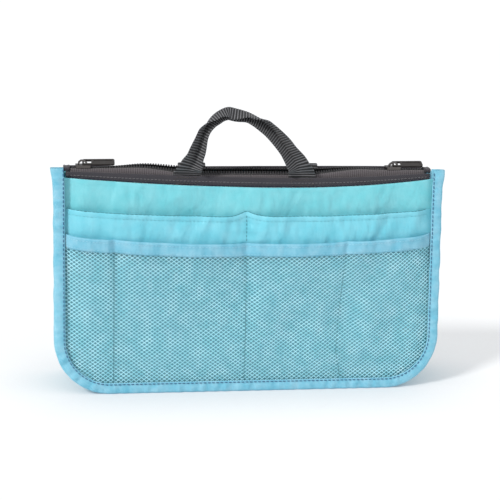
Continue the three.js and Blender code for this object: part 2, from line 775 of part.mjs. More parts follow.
function teethGeometry(zip, shift) {
  const tight = 2 * SEAM_GAP / 3;
  const sections = [];
  const ring = (x, reach, height) => {
    const chainZ = chainHeight(x);
    const corners = [
      [TAPE_EDGE - tight, chainZ - height / 2],
      [TAPE_EDGE - tight, chainZ + height / 2],
      [reach, chainZ + height / 2],
      [reach, chainZ - height / 2],
    ];
    sections.push(corners.map(([depth, z]) => foldBack(zip, x, zip.side * depth, z)));
  };
  const bead = TAPE_EDGE - tight - BEAD_WIDTH;
  ring(-ZIP_END_X, bead, BEAD_HEIGHT);
  const count = Math.floor((2 * ZIP_END_X - TOOTH_PITCH) / TOOTH_PITCH);
  for (let i = 0; i < count; i += 1) {
    const x = -ZIP_END_X + (i + shift) * TOOTH_PITCH;
    const half = TOOTH_LENGTH / 2;
    if (wedgePlaces.some((place) => Math.abs(x - place) < half + WEDGE_LENGTH / 2 + 2 * tight)) continue;
    ring(x - half - tight, bead, BEAD_HEIGHT);
    ring(x - half, -TOOTH_REACH, TOOTH_HEIGHT);
    ring(x + half, -TOOTH_REACH, TOOTH_HEIGHT);
    ring(x + half + tight, bead, BEAD_HEIGHT);
  }
  ring(ZIP_END_X, bead, BEAD_HEIGHT);
  return sweptGeometry(sections, [[0, 0], [0, 1], [1, 1], [1, 0]]);
}

// Slider: two plates joined by a wedge that parts the rows, with flanges and a crown for the pull.
// Its mouth, the wide end, faces +X.
function sliderGeometry() {
  const inside = TOOTH_HEIGHT / 2 + SLIDER_CLEARANCE;
  const tall = inside + SLIDER_PLATE;
  const half = SLIDER_LENGTH / 2;
  const wide = SLIDER_WIDTH / 2;
  const tail = SLIDER_TAIL_WIDTH / 2;
  const round = SLIDER_PLATE;
  const outline = new THREE.Shape();
  outline.moveTo(-half, -tail + round);
  outline.quadraticCurveTo(-half, -tail, -half + round, -tail);
  outline.lineTo(half / 3, -wide);
  outline.lineTo(half - round, -wide);
  outline.quadraticCurveTo(half, -wide, half, -wide + round);
  outline.lineTo(half, wide - round);
  outline.quadraticCurveTo(half, wide, half - round, wide);
  outline.lineTo(half / 3, wide);
  outline.lineTo(-half + round, tail);
  outline.quadraticCurveTo(-half, tail, -half, tail - round);
  outline.closePath();
  const overrun = SLIDER_PLATE / 2;
  let body = plate(outline, -tall, 2 * tall, 3);
  const through = SLIDER_LENGTH + 2 * overrun;
  const channel = block(0, 0, 0, through, SLIDER_TAIL_WIDTH - 2 * SLIDER_FLANGE, 2 * inside);
  body = body.subtract(channel);
  const slit = TAPE_THICKNESS + 2 * SLIDER_CLEARANCE;
  body = body.subtract(block(0, 0, 0, through, SLIDER_WIDTH + 2 * overrun, slit));
  const crown = new THREE.Shape();
  const reach = CROWN_LENGTH / 2;
  crown.moveTo(-reach, 0);
  const control = CROWN_FULLNESS * 4 / 3;
  crown.bezierCurveTo(-reach, CROWN_RISE * control, reach / 2, CROWN_RISE * control, reach, 0);
  crown.closePath();
  const bore = new THREE.Shape();
  const inner = reach - CROWN_WIRE;
  const lower = CROWN_RISE - CROWN_WIRE;
  bore.moveTo(-inner, -overrun);
  bore.bezierCurveTo(-inner, lower * control, inner / 2, lower * control, inner, -overrun);
  bore.closePath();
  const upright = (shape, width) => {
    const options = { depth: width, bevelEnabled: false, curveSegments: 5 };
    const geometry = new THREE.ExtrudeGeometry(shape, options);
    geometry.rotateX(Math.PI / 2);
    geometry.translate(0, width / 2, tall - overrun / 2);
    return solid(geometry);
  };
  const arch = upright(crown, CROWN_WIDTH).subtract(upright(bore, CROWN_WIDTH + 2 * overrun));
  body = body.add(arch);
  const wedge = new THREE.Shape();
  wedge.moveTo(wedgeInset + WEDGE_LENGTH / 2, -WEDGE_WIDTH / 2);
  wedge.lineTo(wedgeInset + WEDGE_LENGTH / 2, WEDGE_WIDTH / 2);
  wedge.lineTo(wedgeInset - WEDGE_LENGTH / 2, 0);
  wedge.closePath();
  body = body.add(plate(wedge, -inside - overrun / 2, 2 * inside + overrun));
  return geometryOf(body);
}

// Pull: a flat tab whose eye hangs on the crown; it points along +X from the hinge line
function pullGeometry() {
  const wide = PULL_WIDTH / 2;
  const eyeHalf = PULL_EYE_WIDTH / 2;
  const rim = wide - eyeHalf;
  const start = -PULL_BAR / 2;
  const end = start + PULL_LENGTH;
  const tab = new THREE.Shape();
  tab.moveTo(start + rim, -wide);
  tab.lineTo(end - rim, -wide);
  tab.quadraticCurveTo(end, -wide, end, -wide + rim);
  tab.lineTo(end, wide - rim);
  tab.quadraticCurveTo(end, wide, end - rim, wide);
  tab.lineTo(start + rim, wide);
  tab.quadraticCurveTo(start, wide, start, wide - rim);
  tab.lineTo(start, rim - wide);
  tab.quadraticCurveTo(start, -wide, start + rim, -wide);
  const overrun = PULL_THICKNESS / 4;
  const opening = (from, to) => {
    const shape = new THREE.Shape();
    shape.moveTo(from, -eyeHalf);
    shape.lineTo(to, -eyeHalf);
    shape.lineTo(to, eyeHalf);
    shape.lineTo(from, eyeHalf);
    shape.closePath();
    return shape;
  };
  const eye = opening(PULL_BAR / 2, PULL_BAR / 2 + PULL_EYE_LENGTH);
  const recess = opening(PULL_BAR / 2 + PULL_EYE_LENGTH + rim, end - rim);
  let body = plate(tab, -PULL_THICKNESS / 2, PULL_THICKNESS);
  body = body.subtract(plate(eye, -PULL_THICKNESS / 2 - overrun, PULL_THICKNESS + 2 * overrun));
  body = body.subtract(plate(recess, PULL_THICKNESS / 2 - overrun, 2 * overrun));
  return geometryOf(body);
}

// End tab: folded cloth over the end of the rows, a soft block with rounded sides
function endTabGeometry() {
  const half = END_TAB_WIDTH / 2;
  const thick = END_TAB_THICKNESS / 2;
  const tab = new THREE.Shape();
  tab.moveTo(-half + thick, -thick);
  tab.lineTo(half - thick, -thick);
  tab.absarc(half - thick, 0, thick, -Math.PI / 2, Math.PI / 2, false);
  tab.lineTo(-half + thick, thick);
  tab.absarc(-half + thick, 0, thick, Math.PI / 2, 3 * Math.PI / 2, false);
  const options = { depth: END_TAB_LENGTH, bevelEnabled: false, curveSegments: 5 };
  const geometry = new THREE.ExtrudeGeometry(tab, options);
  const along = new THREE.Vector3(1, 0, 0);
  const across = new THREE.Vector3(0, 1, 0);
  const up = new THREE.Vector3(0, 0, 1);
  return geometry.applyMatrix4(new THREE.Matrix4().makeBasis(across, up, along));
}

function addZip() {
  addMesh('front_mouth_facing', facingGeometry(frontTop, -1), TAPE);
  addMesh('back_mouth_facing', facingGeometry(backTop, 1), TAPE);
  addMesh('front_zip_tape', tapeGeometry(frontSide), TAPE);
  addMesh('back_zip_tape', tapeGeometry(backSide), TAPE);
  addMesh('front_zip_teeth', teethGeometry(frontSide, 1), TEETH);
  addMesh('back_zip_teeth', teethGeometry(backSide, 3 / 2), TEETH);
  const crownFoot = CHAIN_HEIGHT + TOOTH_HEIGHT / 2 + SLIDER_CLEARANCE + SLIDER_PLATE;
  const hingeZ = crownFoot + (CROWN_RISE - CROWN_WIRE) * CROWN_FULLNESS / 2;
  for (const [name, x, facing] of [['left', LEFT_SLIDER_X, 0], ['right', RIGHT_SLIDER_X, Math.PI]]) {
    const slider = addMesh(`${name}_zip_slider`, sliderGeometry(), METAL);
    slider.position.set(x, 0, CHAIN_HEIGHT);
    slider.rotation.z = facing;
    const pull = addMesh(`${name}_zip_pull`, pullGeometry(), METAL);
    pull.position.set(x, 0, hingeZ);
    pull.rotation.y = radians(-PULL_SLOPE);
  }
  for (const [name, side] of [['left', -1], ['right', 1]]) {
    const piece = addMesh(`${name}_zip_end_tab`, endTabGeometry(), TAPE);
    const start = side > 0 ? ZIP_END_X + SEAM_GAP : -ZIP_END_X - SEAM_GAP - END_TAB_LENGTH;
    piece.position.set(start, 0, CHAIN_HEIGHT);
  }
}

// Webbing that is flat at its ends and folded along its middle where it is held.
// Each station gives the crease's place, the way the fold opens and half its opening angle.
function webbingGeometry(stations) {
  const t = WEBBING_THICKNESS / 2;
  const half = WEBBING_WIDTH / 2;
  const sections = stations.map(({ point, out, deep, opens, spread }) => {
    const direction = (angle) => {
      const along = out.clone().multiplyScalar(Math.cos(angle));
      return along.addScaledVector(deep, Math.sin(angle));
    };
    const fold = direction(opens);
    const left = direction(opens + spread);
    const right = direction(opens - spread);
    const leftFace = direction(opens + spread - Math.PI / 2);
    const rightFace = direction(opens - spread + Math.PI / 2);
    const at = (parts) => parts.reduce((p, [v, s]) => p.addScaledVector(v, s), point.clone());
    return [
      at([[left, half], [leftFace, t]]),
      at([[fold, t / Math.sin(spread)]]),
      at([[right, half], [rightFace, t]]),
      at([[right, half], [rightFace, -t]]),
      at([[fold, -t]]),
      at([[left, half], [leftFace, -t]]),
    ];
  });
  return sweptGeometry(sections, [[-1, 1], [0, 1], [1, 1], [1, 0], [0, 0], [-1, 0]]);
}

// Front handle: the crease's route and its folds, as shares of the span, the rise and half a turn
const frontRouteShares = [
  [0, 0], [0.05, 0.2], [0.093, 0.4], [0.14, 0.63], [0.19, 0.85], [0.255, 0.965], [0.34, 1.03],
  [0.41, 1.01], [0.51, 0.96], [0.615, 0.86], [0.71, 0.73], [0.8, 0.55], [0.88, 0.36], [0.95, 0.17], [1, 0],
];
const frontOpensShares = [
  [0, -0.5], [0.12, -0.48], [0.24, -0.45], [0.36, -0.7], [0.46, -0.86],
  [0.56, -0.66], [0.66, -0.58], [0.82, -0.53], [1, -0.5],
];
const frontSpreadShares = [
  [0, 0.5], [0.05, 0.3], [0.12, 0.2], [0.24, 0.13], [0.36, 0.08],
  [0.46, 0.06], [0.56, 0.08], [0.66, 0.17], [0.82, 0.2], [0.94, 0.28], [1, 0.49],
];

function alongTable(table, share) {
  let i = 1;
  while (i < table.length - 1 && table[i][0] < share) i += 1;
  const [a, va] = table[i - 1];
  const [b, vb] = table[i];
  return lerp(va, vb, ease((share - a) / (b - a)));
}

const handleY = FRONT_FOLD_Y - WEBBING_THICKNESS - 2 * SEAM_GAP;

function frontHandleGeometry() {
  const legEdge = HANDLE_LEFT_X - WEBBING_WIDTH / 2;
  const seat = frontTop(legEdge) + facingRise(legEdge) + HANDLE_SEAT;
  const span = HANDLE_RIGHT_X - HANDLE_LEFT_X;
  const route = new THREE.CatmullRomCurve3(frontRouteShares.map(([across, up]) => new THREE.Vector3(
    HANDLE_LEFT_X + span * across,
    handleY,
    seat + HANDLE_RISE * up,
  )), false, 'centripetal');
  const deep = new THREE.Vector3(0, 1, 0);
  const stations = [];
  for (let i = 0; i <= HANDLE_STEPS; i += 1) {
    const share = i / HANDLE_STEPS;
    const along = route.getTangentAt(share);
    const free = Math.sin(share * Math.PI);
    const level = ease(free * 4);
    const out = new THREE.Vector3(-along.z, 0, along.x);
    const ends = new THREE.Vector3(share < 1 / 2 ? -1 : 1, 0, 0);
    stations.push({
      point: route.getPointAt(share),
      out: ends.lerp(out, level).normalize(),
      deep,
      opens: alongTable(frontOpensShares, share) * Math.PI,
      spread: alongTable(frontSpreadShares, share) * Math.PI,
    });
  }
  return webbingGeometry(stations);
}

// Back handle: hangs down outside the back wall from the top of the facing
function backHandleGeometry() {
  const half = BACK_HANDLE_SPAN / 2;
  const seat = Math.min(backTop(-half) + facingRise(-half), backTop(half) + facingRise(half));
  const drop = BACK_HANDLE_DROP;
  const routeShares = [
    [-1, 0], [-1, 0.3], [-0.93, 0.62], [-0.6, 0.93], [0, 1],
    [0.6, 0.93], [0.93, 0.62], [1, 0.3], [1, 0],
  ];
  const hung = panelOuter(half, backTop(half)) + BACK_HANDLE_STANDOFF;
  const route = new THREE.CatmullRomCurve3(routeShares.map(([across, down]) => (
    new THREE.Vector3(half * across, hung + BACK_HANDLE_LEAN * down, seat - drop * down)
  )), false, 'centripetal');
  const deep = new THREE.Vector3(0, 1, 0);
  const stations = [];
  for (let i = 0; i <= HANDLE_STEPS; i += 1) {
    const share = i / HANDLE_STEPS;
    const along = route.getTangentAt(share);
    const middle = ease(1 - Math.abs(2 * share - 1) * 1.4);
    const ends = new THREE.Vector3(share < 1 / 2 ? -1 : 1, 0, 0);
    const out = new THREE.Vector3(along.z, 0, -along.x);
    stations.push({
      point: route.getPointAt(share),
      out: ends.lerp(out, ease(Math.sin(share * Math.PI) * 4)).normalize(),
      deep,
      opens: Math.PI * lerp(1 / 2, 0.9, middle),
      spread: Math.PI * lerp(1 / 2, 0.08, middle),
    });
  }
  return webbingGeometry(stations);
}

function addHandles() {
  addMesh('front_handle', frontHandleGeometry(), WEBBING);
  addMesh('back_handle', backHandleGeometry(), WEBBING);
}

addWalls();
addSeams();
addPockets();
addZip();
addHandles();

export default organizer;
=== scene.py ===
import bpy
import math
import numpy as np
from mathutils import Matrix, Vector


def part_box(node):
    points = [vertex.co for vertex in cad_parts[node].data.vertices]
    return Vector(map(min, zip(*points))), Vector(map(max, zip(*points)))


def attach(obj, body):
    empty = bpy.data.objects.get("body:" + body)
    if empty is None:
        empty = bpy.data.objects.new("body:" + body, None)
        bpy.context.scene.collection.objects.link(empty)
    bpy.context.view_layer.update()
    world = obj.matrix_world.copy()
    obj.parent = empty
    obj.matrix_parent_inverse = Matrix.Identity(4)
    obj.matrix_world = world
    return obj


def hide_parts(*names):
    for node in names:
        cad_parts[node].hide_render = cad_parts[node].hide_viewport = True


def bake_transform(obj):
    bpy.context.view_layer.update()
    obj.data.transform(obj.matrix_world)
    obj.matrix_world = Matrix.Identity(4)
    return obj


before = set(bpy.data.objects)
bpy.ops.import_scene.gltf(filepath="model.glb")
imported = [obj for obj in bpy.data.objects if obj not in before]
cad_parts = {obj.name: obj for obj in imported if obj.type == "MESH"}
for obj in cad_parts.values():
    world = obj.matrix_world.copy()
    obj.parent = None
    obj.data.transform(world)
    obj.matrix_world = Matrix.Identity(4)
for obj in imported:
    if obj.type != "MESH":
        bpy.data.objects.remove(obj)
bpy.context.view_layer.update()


# Camera: a long lens a little above the mouth, turned slightly to the left of the front.
# The horizon leans by under two degrees, as in the photograph.
def linked(name, data):
    made = bpy.data.objects.new(name, data)
    bpy.context.scene.collection.objects.link(made)
    return made


azimuth, height_angle, lean = math.radians(9.03), math.radians(12.95), math.radians(-1.75)
target = Vector((0.00155, 0, 0.09965))
distance = 0.8899
back = Vector((
    -math.sin(azimuth) * math.cos(height_angle),
    -math.cos(azimuth) * math.cos(height_angle),
    math.sin(height_angle),
))
right = Vector((math.cos(azimuth), -math.sin(azimuth), 0))
upward = back.cross(right)
camera = linked("camera", bpy.data.cameras.new("camera"))
bpy.context.scene.camera = camera
camera.data.sensor_width = 36
camera.data.lens = 86.4
axes = (
    right * math.cos(lean) - upward * math.sin(lean),
    right * math.sin(lean) + upward * math.cos(lean),
    back,
)
camera.matrix_world = Matrix.Translation(target + back * distance) @ Matrix(axes).transposed().to_4x4()
bpy.context.scene.view_settings.view_transform = "Standard"


# Light: a white room, a broad key light from the upper left and a weak one from the right.
# The room is plain white to the camera and dimmer as a light, so the cloth keeps its colour.
def shade(tree, kind, settings=None, **values):
    node = tree.nodes.new("ShaderNode" + kind)
    for key, value in (settings or {}).items():
        setattr(node, key, value)
    for key, value in values.items():
        socket = node.inputs[int(key[1:])] if key[1:].isdigit() else node.inputs[key.replace("_", " ")]
        if isinstance(value, bpy.types.NodeSocket):
            tree.links.new(value, socket)
        else:
            socket.default_value = value
    return node


def sun(name, direction, strength, angle, color):
    light = bpy.data.lights.new(name, "SUN")
    light.energy = strength
    light.angle = math.radians(angle)
    light.color = color
    holder = linked(name, light)
    holder.rotation_mode = "QUATERNION"
    holder.rotation_quaternion = Vector(direction).to_track_quat("Z", "Y")


sun("key_light", (-0.85, -0.62, 0.85), strength=2.5, angle=11, color=(1, 0.985, 0.96))
sun("fill_light", (0.9, -0.8, 0.5), strength=0.5, angle=60, color=(0.93, 0.97, 1))
room = bpy.data.worlds.new("room")
bpy.context.scene.world = room
room.use_nodes = True
room.node_tree.nodes.clear()
path = shade(room.node_tree, "LightPath")
seen = shade(room.node_tree, "Math", {"operation": "MAXIMUM"}, i0=path.outputs["Is Camera Ray"],
             i1=path.outputs["Is Transmission Ray"])
lamp = shade(room.node_tree, "Background", Color=(0.94, 0.97, 1, 1), Strength=0.5)
wall = shade(room.node_tree, "Background", Color=(1, 1, 1, 1), Strength=1.05)
both = shade(room.node_tree, "MixShader", i0=seen.outputs[0], i1=lamp.outputs[0], i2=wall.outputs[0])
shade(room.node_tree, "OutputWorld", Surface=both.outputs[0])


# Floor: a pale table top that glows a little, so that lamp shadows on it stay faint. Where ambient
# occlusion finds the pouch near, its glow turns dark blue: a painted contact shadow. It stays out of the
# model.
def new_material(name):
    material = bpy.data.materials.new(name)
    material.use_nodes = True
    material.node_tree.nodes.clear()
    return material, material.node_tree


floor_half = 6
corners = [(x * floor_half, y * floor_half, 0) for x, y in ((-1, -1), (1, -1), (1, 1), (-1, 1))]
floor_mesh = bpy.data.meshes.new("floor")
floor_mesh.from_pydata(corners, [], [(0, 1, 2, 3)])
floor = linked("floor", floor_mesh)
floor_material, tree = new_material("floor")
matte = shade(tree, "BsdfDiffuse", Color=(0.5, 0.505, 0.515, 1))
near = shade(tree, "AmbientOcclusion", {"samples": 8}, Distance=0.075).outputs["AO"]
# Painted contact shadow: the glow's colour goes from white to dark blue as ambient occlusion grows
tint = shade(tree, "Mix", {"data_type": "RGBA"}, i0=near, i6=(0.1, 0.18, 0.25, 1),
             i7=(1, 0.995, 0.995, 1))
glow = shade(tree, "Emission", Color=tint.outputs[2], Strength=0.52)
lit = shade(tree, "AddShader", i0=matte.outputs[0], i1=glow.outputs[0])
shade(tree, "OutputMaterial", Surface=lit.outputs[0])
floor_mesh.materials.append(floor_material)


# Front wall: a padded panel of turquoise nylon that swells inside the binding. Its
# top edge is turned in; soft upright folds run down from it.
BASE_HALF, CORNER_RADIUS, EDGE_INSET = 102, 40, 0.9
SEAM_HALF, STITCH_HALF, SEAM_HEIGHT, SEAM_WIDTH = 134, 133.7, 162, 8
FOOT_DEPTH, MOUTH_DEPTH = 25, 8
FOOT_SWELL, MOUTH_SWELL, SWELL_RUN = 2.5, 3.4, 60
PANEL_THICKNESS = 1.2
MILLIMETRE = 0.001


def ease(share):
    t = np.clip(share, 0, 1)
    return t * t * (3 - 2 * t)


def mix(a, b, share):
    return a + (b - a) * share


def joined(*values):
    """Values side by side along a last axis, each spread to the shape of them all."""
    return np.stack(np.broadcast_arrays(*values), -1)


def outline_bottom(x, inset):
    radius = CORNER_RADIUS - inset
    past = np.clip(np.abs(x) - BASE_HALF, 0, radius)
    return CORNER_RADIUS - np.sqrt(radius ** 2 - past ** 2)


def seam_depth(z):
    return mix(FOOT_DEPTH, MOUTH_DEPTH, z / SEAM_HEIGHT)


def seam_top(x):
    past = np.abs(x) - SEAM_HALF
    low = outline_bottom(np.clip(x, -SEAM_HALF, SEAM_HALF), SEAM_WIDTH)
    return np.where(past > 0, CORNER_RADIUS + past, low)


def wall_depth(x, z):
    across = np.maximum(1 - (x / SEAM_HALF) ** 2, 0)
    swell = mix(FOOT_SWELL, MOUTH_SWELL, z / SEAM_HEIGHT)
    return seam_depth(z) + swell * across * ease((z - seam_top(x)) / SWELL_RUN)


def sag_share(x, lowest):
    reach = np.where(x < lowest, lowest + SEAM_HALF, SEAM_HALF - lowest)
    return np.maximum(1 - ((x - lowest) / reach) ** 2, 0)


def front_top(x):
    corner, sag, lowest = 155, 6, 30
    return corner - sag * sag_share(x, lowest)


def waves(x, z, seed, wide, tall):
    random = np.random.default_rng(seed)
    total = np.zeros(np.shape(x))
    for _ in range(7):
        across = 2 * np.pi / (wide * random.uniform(0.6, 1.9))
        up = 2 * np.pi / (tall * random.uniform(0.7, 2.2)) * random.choice([-1, 1])
        total = total + np.sin(across * x + up * z + random.uniform(0, 2 * np.pi))
    return np.clip(total / 3.4, -1, 1)


def creases(x, z, lines):
    """Pressed-in lines; each has two ends, a width and a depth, which is negative for a hollow."""
    total = np.zeros(np.shape(x))
    for x0, z0, x1, z1, width, depth in lines:
        run = (x1 - x0) ** 2 + (z1 - z0) ** 2
        along = np.clip(((x - x0) * (x1 - x0) + (z - z0) * (z1 - z0)) / run, 0, 1)
        away = np.hypot(x - mix(x0, x1, along), z - mix(z0, z1, along))
        fade = np.sin(np.pi * np.clip(along, 0.06, 0.94))
        total = total + depth * np.exp(-(away / width) ** 2) * fade
    return total


def inside_seams(x, z, run=14):
    return ease((STITCH_HALF - np.abs(x)) / run) * ease((z - seam_top(x)) / (1.4 * run))


def hem(below, width, height):
    """How far a turned hem stands off its cloth at a distance below its edge; a groove ends it."""
    raised = height * ease(below / 0.8) * ease((width - below) / 0.9)
    groove = -0.35 * height * np.exp(-((below - width - 0.5) / 0.7) ** 2)
    return raised + groove


def turned_hem(grid, top, width, height):
    x, z = grid
    return hem(top(x) - z, width, height) * ease((STITCH_HALF - np.abs(x)) / 5)


def panel_outer(x, z):
    folds = 0.5 + 0.5 * waves(x, z, 3, 52, 70)
    pressed = creases(x, z, [
        (-89, 150, -88, 134, 2.6, -0.8), (-83, 148, -80, 135, 2.2, -0.6),
        (-52, 147, -60, 136, 3.2, 0.6), (12, 146, 8, 134, 3, -0.5), (58, 146, 63, 134, 3.4, -0.6),
        (96, 148, 92, 135, 2.6, -0.5), (-120, 150, -112, 136, 3, 0.5),
    ])
    fine = waves(x, z, 29, 11, 26)
    soft = 2.5 * folds + 0.22 * fine + 1.4 * pressed
    return wall_depth(x, z) + PANEL_THICKNESS + inside_seams(x, z) * soft


def cloth_grid(top, rows, columns=170):
    """Places over a wall's outline, up to a top edge and closer together round its corners."""
    turn = np.linspace(0, np.pi / 2, 16)[1:]
    corner = BASE_HALF + (CORNER_RADIUS - EDGE_INSET) * np.sin(turn)
    x = np.concatenate([-corner[::-1], np.linspace(-BASE_HALF, BASE_HALF, columns), corner])
    z = mix(outline_bottom(x, EDGE_INSET), top(x), np.asarray(rows)[:, None])
    return np.broadcast_to(x, z.shape), z


def piece(name, points, faces, places, material):
    mesh = bpy.data.meshes.new(name)
    mesh.from_pydata((np.asarray(points) * MILLIMETRE).tolist(), [], faces)
    mesh.uv_layers.new(name="Place").data.foreach_set("uv", np.asarray(places, float).ravel())
    mesh.polygons.foreach_set("use_smooth", np.ones(len(mesh.polygons), bool))
    mesh.materials.append(material)
    return linked(name, mesh)


def shell(name, outer, inner, places, material):
    rows, columns = outer.shape[:2]
    at = np.arange(rows * columns).reshape(rows, columns)
    quads = joined(at[:-1, :-1], at[:-1, 1:], at[1:, 1:], at[1:, :-1]).reshape(-1, 4)
    rim = np.concatenate([at[0, :-1], at[:-1, -1], at[-1, :0:-1], at[:0:-1, 0]])
    following = np.roll(rim, -1)
    sides = joined(rim, rim + at.size, following + at.size, following)
    faces = np.concatenate([quads, quads[:, ::-1] + at.size, sides])
    points = np.concatenate([outer.reshape(-1, 3), inner.reshape(-1, 3)])
    a, b, c = (points[faces[:, i]] for i in (0, 1, 2))
    a2, c2, d2 = (points[faces[:, i]] for i in (0, 2, 3))
    volume = np.einsum("ij,ij", a, np.cross(b, c)) + np.einsum("ij,ij", a2, np.cross(c2, d2))
    if volume < 0:
        faces = faces[:, ::-1]
    both = np.concatenate([places.reshape(-1, 2)] * 2)
    return piece(name, points, faces.tolist(), both[faces.ravel()], material)


def wall_sheet(name, grid, outer, inner, side, material):
    x, z = grid
    faces = [joined(x, side * depth, z) for depth in (outer, inner)]
    return shell(name, faces[0], faces[1], joined(x, z), material)


def effect(name, inputs, outputs):
    group = bpy.data.node_groups.new(name, "ShaderNodeTree")
    for label, kind in inputs:
        group.interface.new_socket(label, in_out="INPUT", socket_type="NodeSocket" + kind)
    for label, kind in outputs:
        group.interface.new_socket(label, in_out="OUTPUT", socket_type="NodeSocket" + kind)
    return group, group.nodes.new("NodeGroupInput").outputs, group.nodes.new("NodeGroupOutput").inputs


def sums(tree, operation, a, b=0.0):
    return shade(tree, "Math", {"operation": operation}, i0=a, i1=b).outputs[0]


# Plain weave: threads over and under each other at a pitch in millimetres
weave, inlet, outlet = effect(
    "plain_weave", [("Place", "Vector"), ("Pitch", "Float")], [("Height", "Float")])
split = shade(weave, "SeparateXYZ", i0=inlet["Place"])
turns = sums(weave, "DIVIDE", 2 * math.pi, inlet["Pitch"])
warp = sums(weave, "SINE", sums(weave, "MULTIPLY", split.outputs[0], turns))
weft = sums(weave, "SINE", sums(weave, "MULTIPLY", split.outputs[1], turns))
weave.links.new(sums(weave, "MULTIPLY", warp, weft), outlet["Height"])

# Mottle and sheen: uneven dye, and paler, less saturated spots at random places, painted in as soft
# highlights
mottle_and_sheen, inlet, outlet = effect(
    "mottle_and_sheen",
    [("Color", "Color"), ("Place", "Vector"), ("Size", "Float"), ("Depth", "Float")],
    [("Color", "Color")],
)
scale = sums(mottle_and_sheen, "DIVIDE", 1.0, inlet["Size"])
uneven = shade(mottle_and_sheen, "TexNoise", Vector=inlet["Place"], Scale=scale, Detail=4.0, Roughness=0.6)
centred = sums(mottle_and_sheen, "SUBTRACT", uneven.outputs[0], 0.5)
value = sums(mottle_and_sheen, "MULTIPLY_ADD", centred, inlet["Depth"])
value.node.inputs[2].default_value = 1.0
# Painted sheen: the colour turns paler and less saturated where the noise is high, standing for soft
# highlights
painted_sheen = sums(mottle_and_sheen, "MULTIPLY_ADD", sums(mottle_and_sheen, "MULTIPLY", centred, -1.6), inlet["Depth"])
painted_sheen.node.inputs[2].default_value = 1.0
tinted = shade(mottle_and_sheen, "HueSaturation", Saturation=painted_sheen, Value=value, Color=inlet["Color"])
mottle_and_sheen.links.new(tinted.outputs[0], outlet["Color"])

# Rumple: fine soft creases of thin cloth, from a few millimetres up to a few centimetres
rumple, inlet, outlet = effect(
    "rumple", [("Place", "Vector"), ("Size", "Float")], [("Height", "Float")])
stretched = shade(rumple, "VectorMath", {"operation": "MULTIPLY"}, i0=inlet["Place"],
                  i1=(1.0, 0.45, 1.0))
scale = sums(rumple, "DIVIDE", 1.0, inlet["Size"])
soft = shade(rumple, "TexNoise", Vector=stretched.outputs[0], Scale=scale, Detail=3.0, Distortion=0.4)
rumple.links.new(soft.outputs[0], outlet["Height"])


def grouped(tree, group, **values):
    node = tree.nodes.new("ShaderNodeGroup")
    node.node_tree = group
    for key, value in values.items():
        if isinstance(value, bpy.types.NodeSocket):
            tree.links.new(value, node.inputs[key])
        else:
            node.inputs[key].default_value = value
    return node.outputs[0]


def cloth_material(name, color, roughness, sheen, size, depth=0.1, fold=0.0006, shaded=-9.0):
    """Thin woven cloth, darker up to a height where a net in front of it takes the light."""
    material, tree = new_material(name)
    place = shade(tree, "UVMap", {"uv_map": "Place"}).outputs[0]
    height = shade(tree, "SeparateXYZ", i0=place).outputs[1]
    light = shade(tree, "MapRange", i0=height, i1=shaded - 2, i2=shaded + 2, i3=0.58, i4=1.0)
    toned = shade(tree, "HueSaturation", Value=light.outputs[0], Color=color)
    dye_and_sheen = grouped(tree, mottle_and_sheen, Color=toned.outputs[0], Place=place, Size=size, Depth=depth)
    folds = grouped(tree, rumple, Place=place, Size=size)
    threads = grouped(tree, weave, Place=place, Pitch=0.5)
    bumped = shade(tree, "Bump", Strength=0.6, Distance=fold, Height=folds)
    woven = shade(tree, "Bump", Strength=0.5, Distance=0.00004, Height=threads,
                  Normal=bumped.outputs[0])
    cloth = shade(tree, "BsdfPrincipled", Base_Color=dye_and_sheen, Roughness=roughness, Normal=woven.outputs[0])
    cloth.inputs["Sheen Weight"].default_value = sheen
    cloth.inputs["Sheen Roughness"].default_value = 0.4
    cloth.inputs["Specular IOR Level"].default_value = 0.5
    shade(tree, "OutputMaterial", Surface=cloth.outputs[0])
    return material


nylon_finish = {"roughness": 0.36, "sheen": 0.3, "size": 14.0, "depth": 0.2, "fold": 0.0034}
nylon = cloth_material("nylon", (0.18, 0.59, 0.66, 1), **nylon_finish)
rows = np.concatenate([np.linspace(0, 0.72, 24), np.linspace(0.72, 1, 60)[1:]])
grid = cloth_grid(front_top, rows)
outer = panel_outer(*grid) + turned_hem(grid, front_top, 3.4, 0.1)
front_wall = wall_sheet("front_wall_cloth", grid, outer, wall_depth(*grid), -1, nylon)
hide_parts("front_panel")
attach(front_wall, "pouch")


# Back wall: the same padded nylon behind, a little taller than the front.
# Its folds are broader and fainter.
def back_top(x):
    corner, sag, lowest = 157, 3.5, -40
    return corner - sag * sag_share(x, lowest)


def back_outer(x, z):
    folds = 0.5 + 0.5 * waves(x, z, 11, 50, 150)
    return wall_depth(x, z) + PANEL_THICKNESS + inside_seams(x, z) * 1.2 * folds


grid = cloth_grid(back_top, rows)
outer = back_outer(*grid) + turned_hem(grid, back_top, 3.4, 0.5)
back_wall = wall_sheet("back_wall_cloth", grid, outer, wall_depth(*grid), 1, nylon)
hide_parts("back_panel")
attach(back_wall, "pouch")


# Gussets: one lining cloth between the walls, flat below and folded inward up each side.
# It is drawn as the CAD has it, a bottom piece and two side pieces, with soft pleats.
SIDE_RUN = SEAM_HEIGHT - CORNER_RADIUS
CLOTH_HALF = 0.3


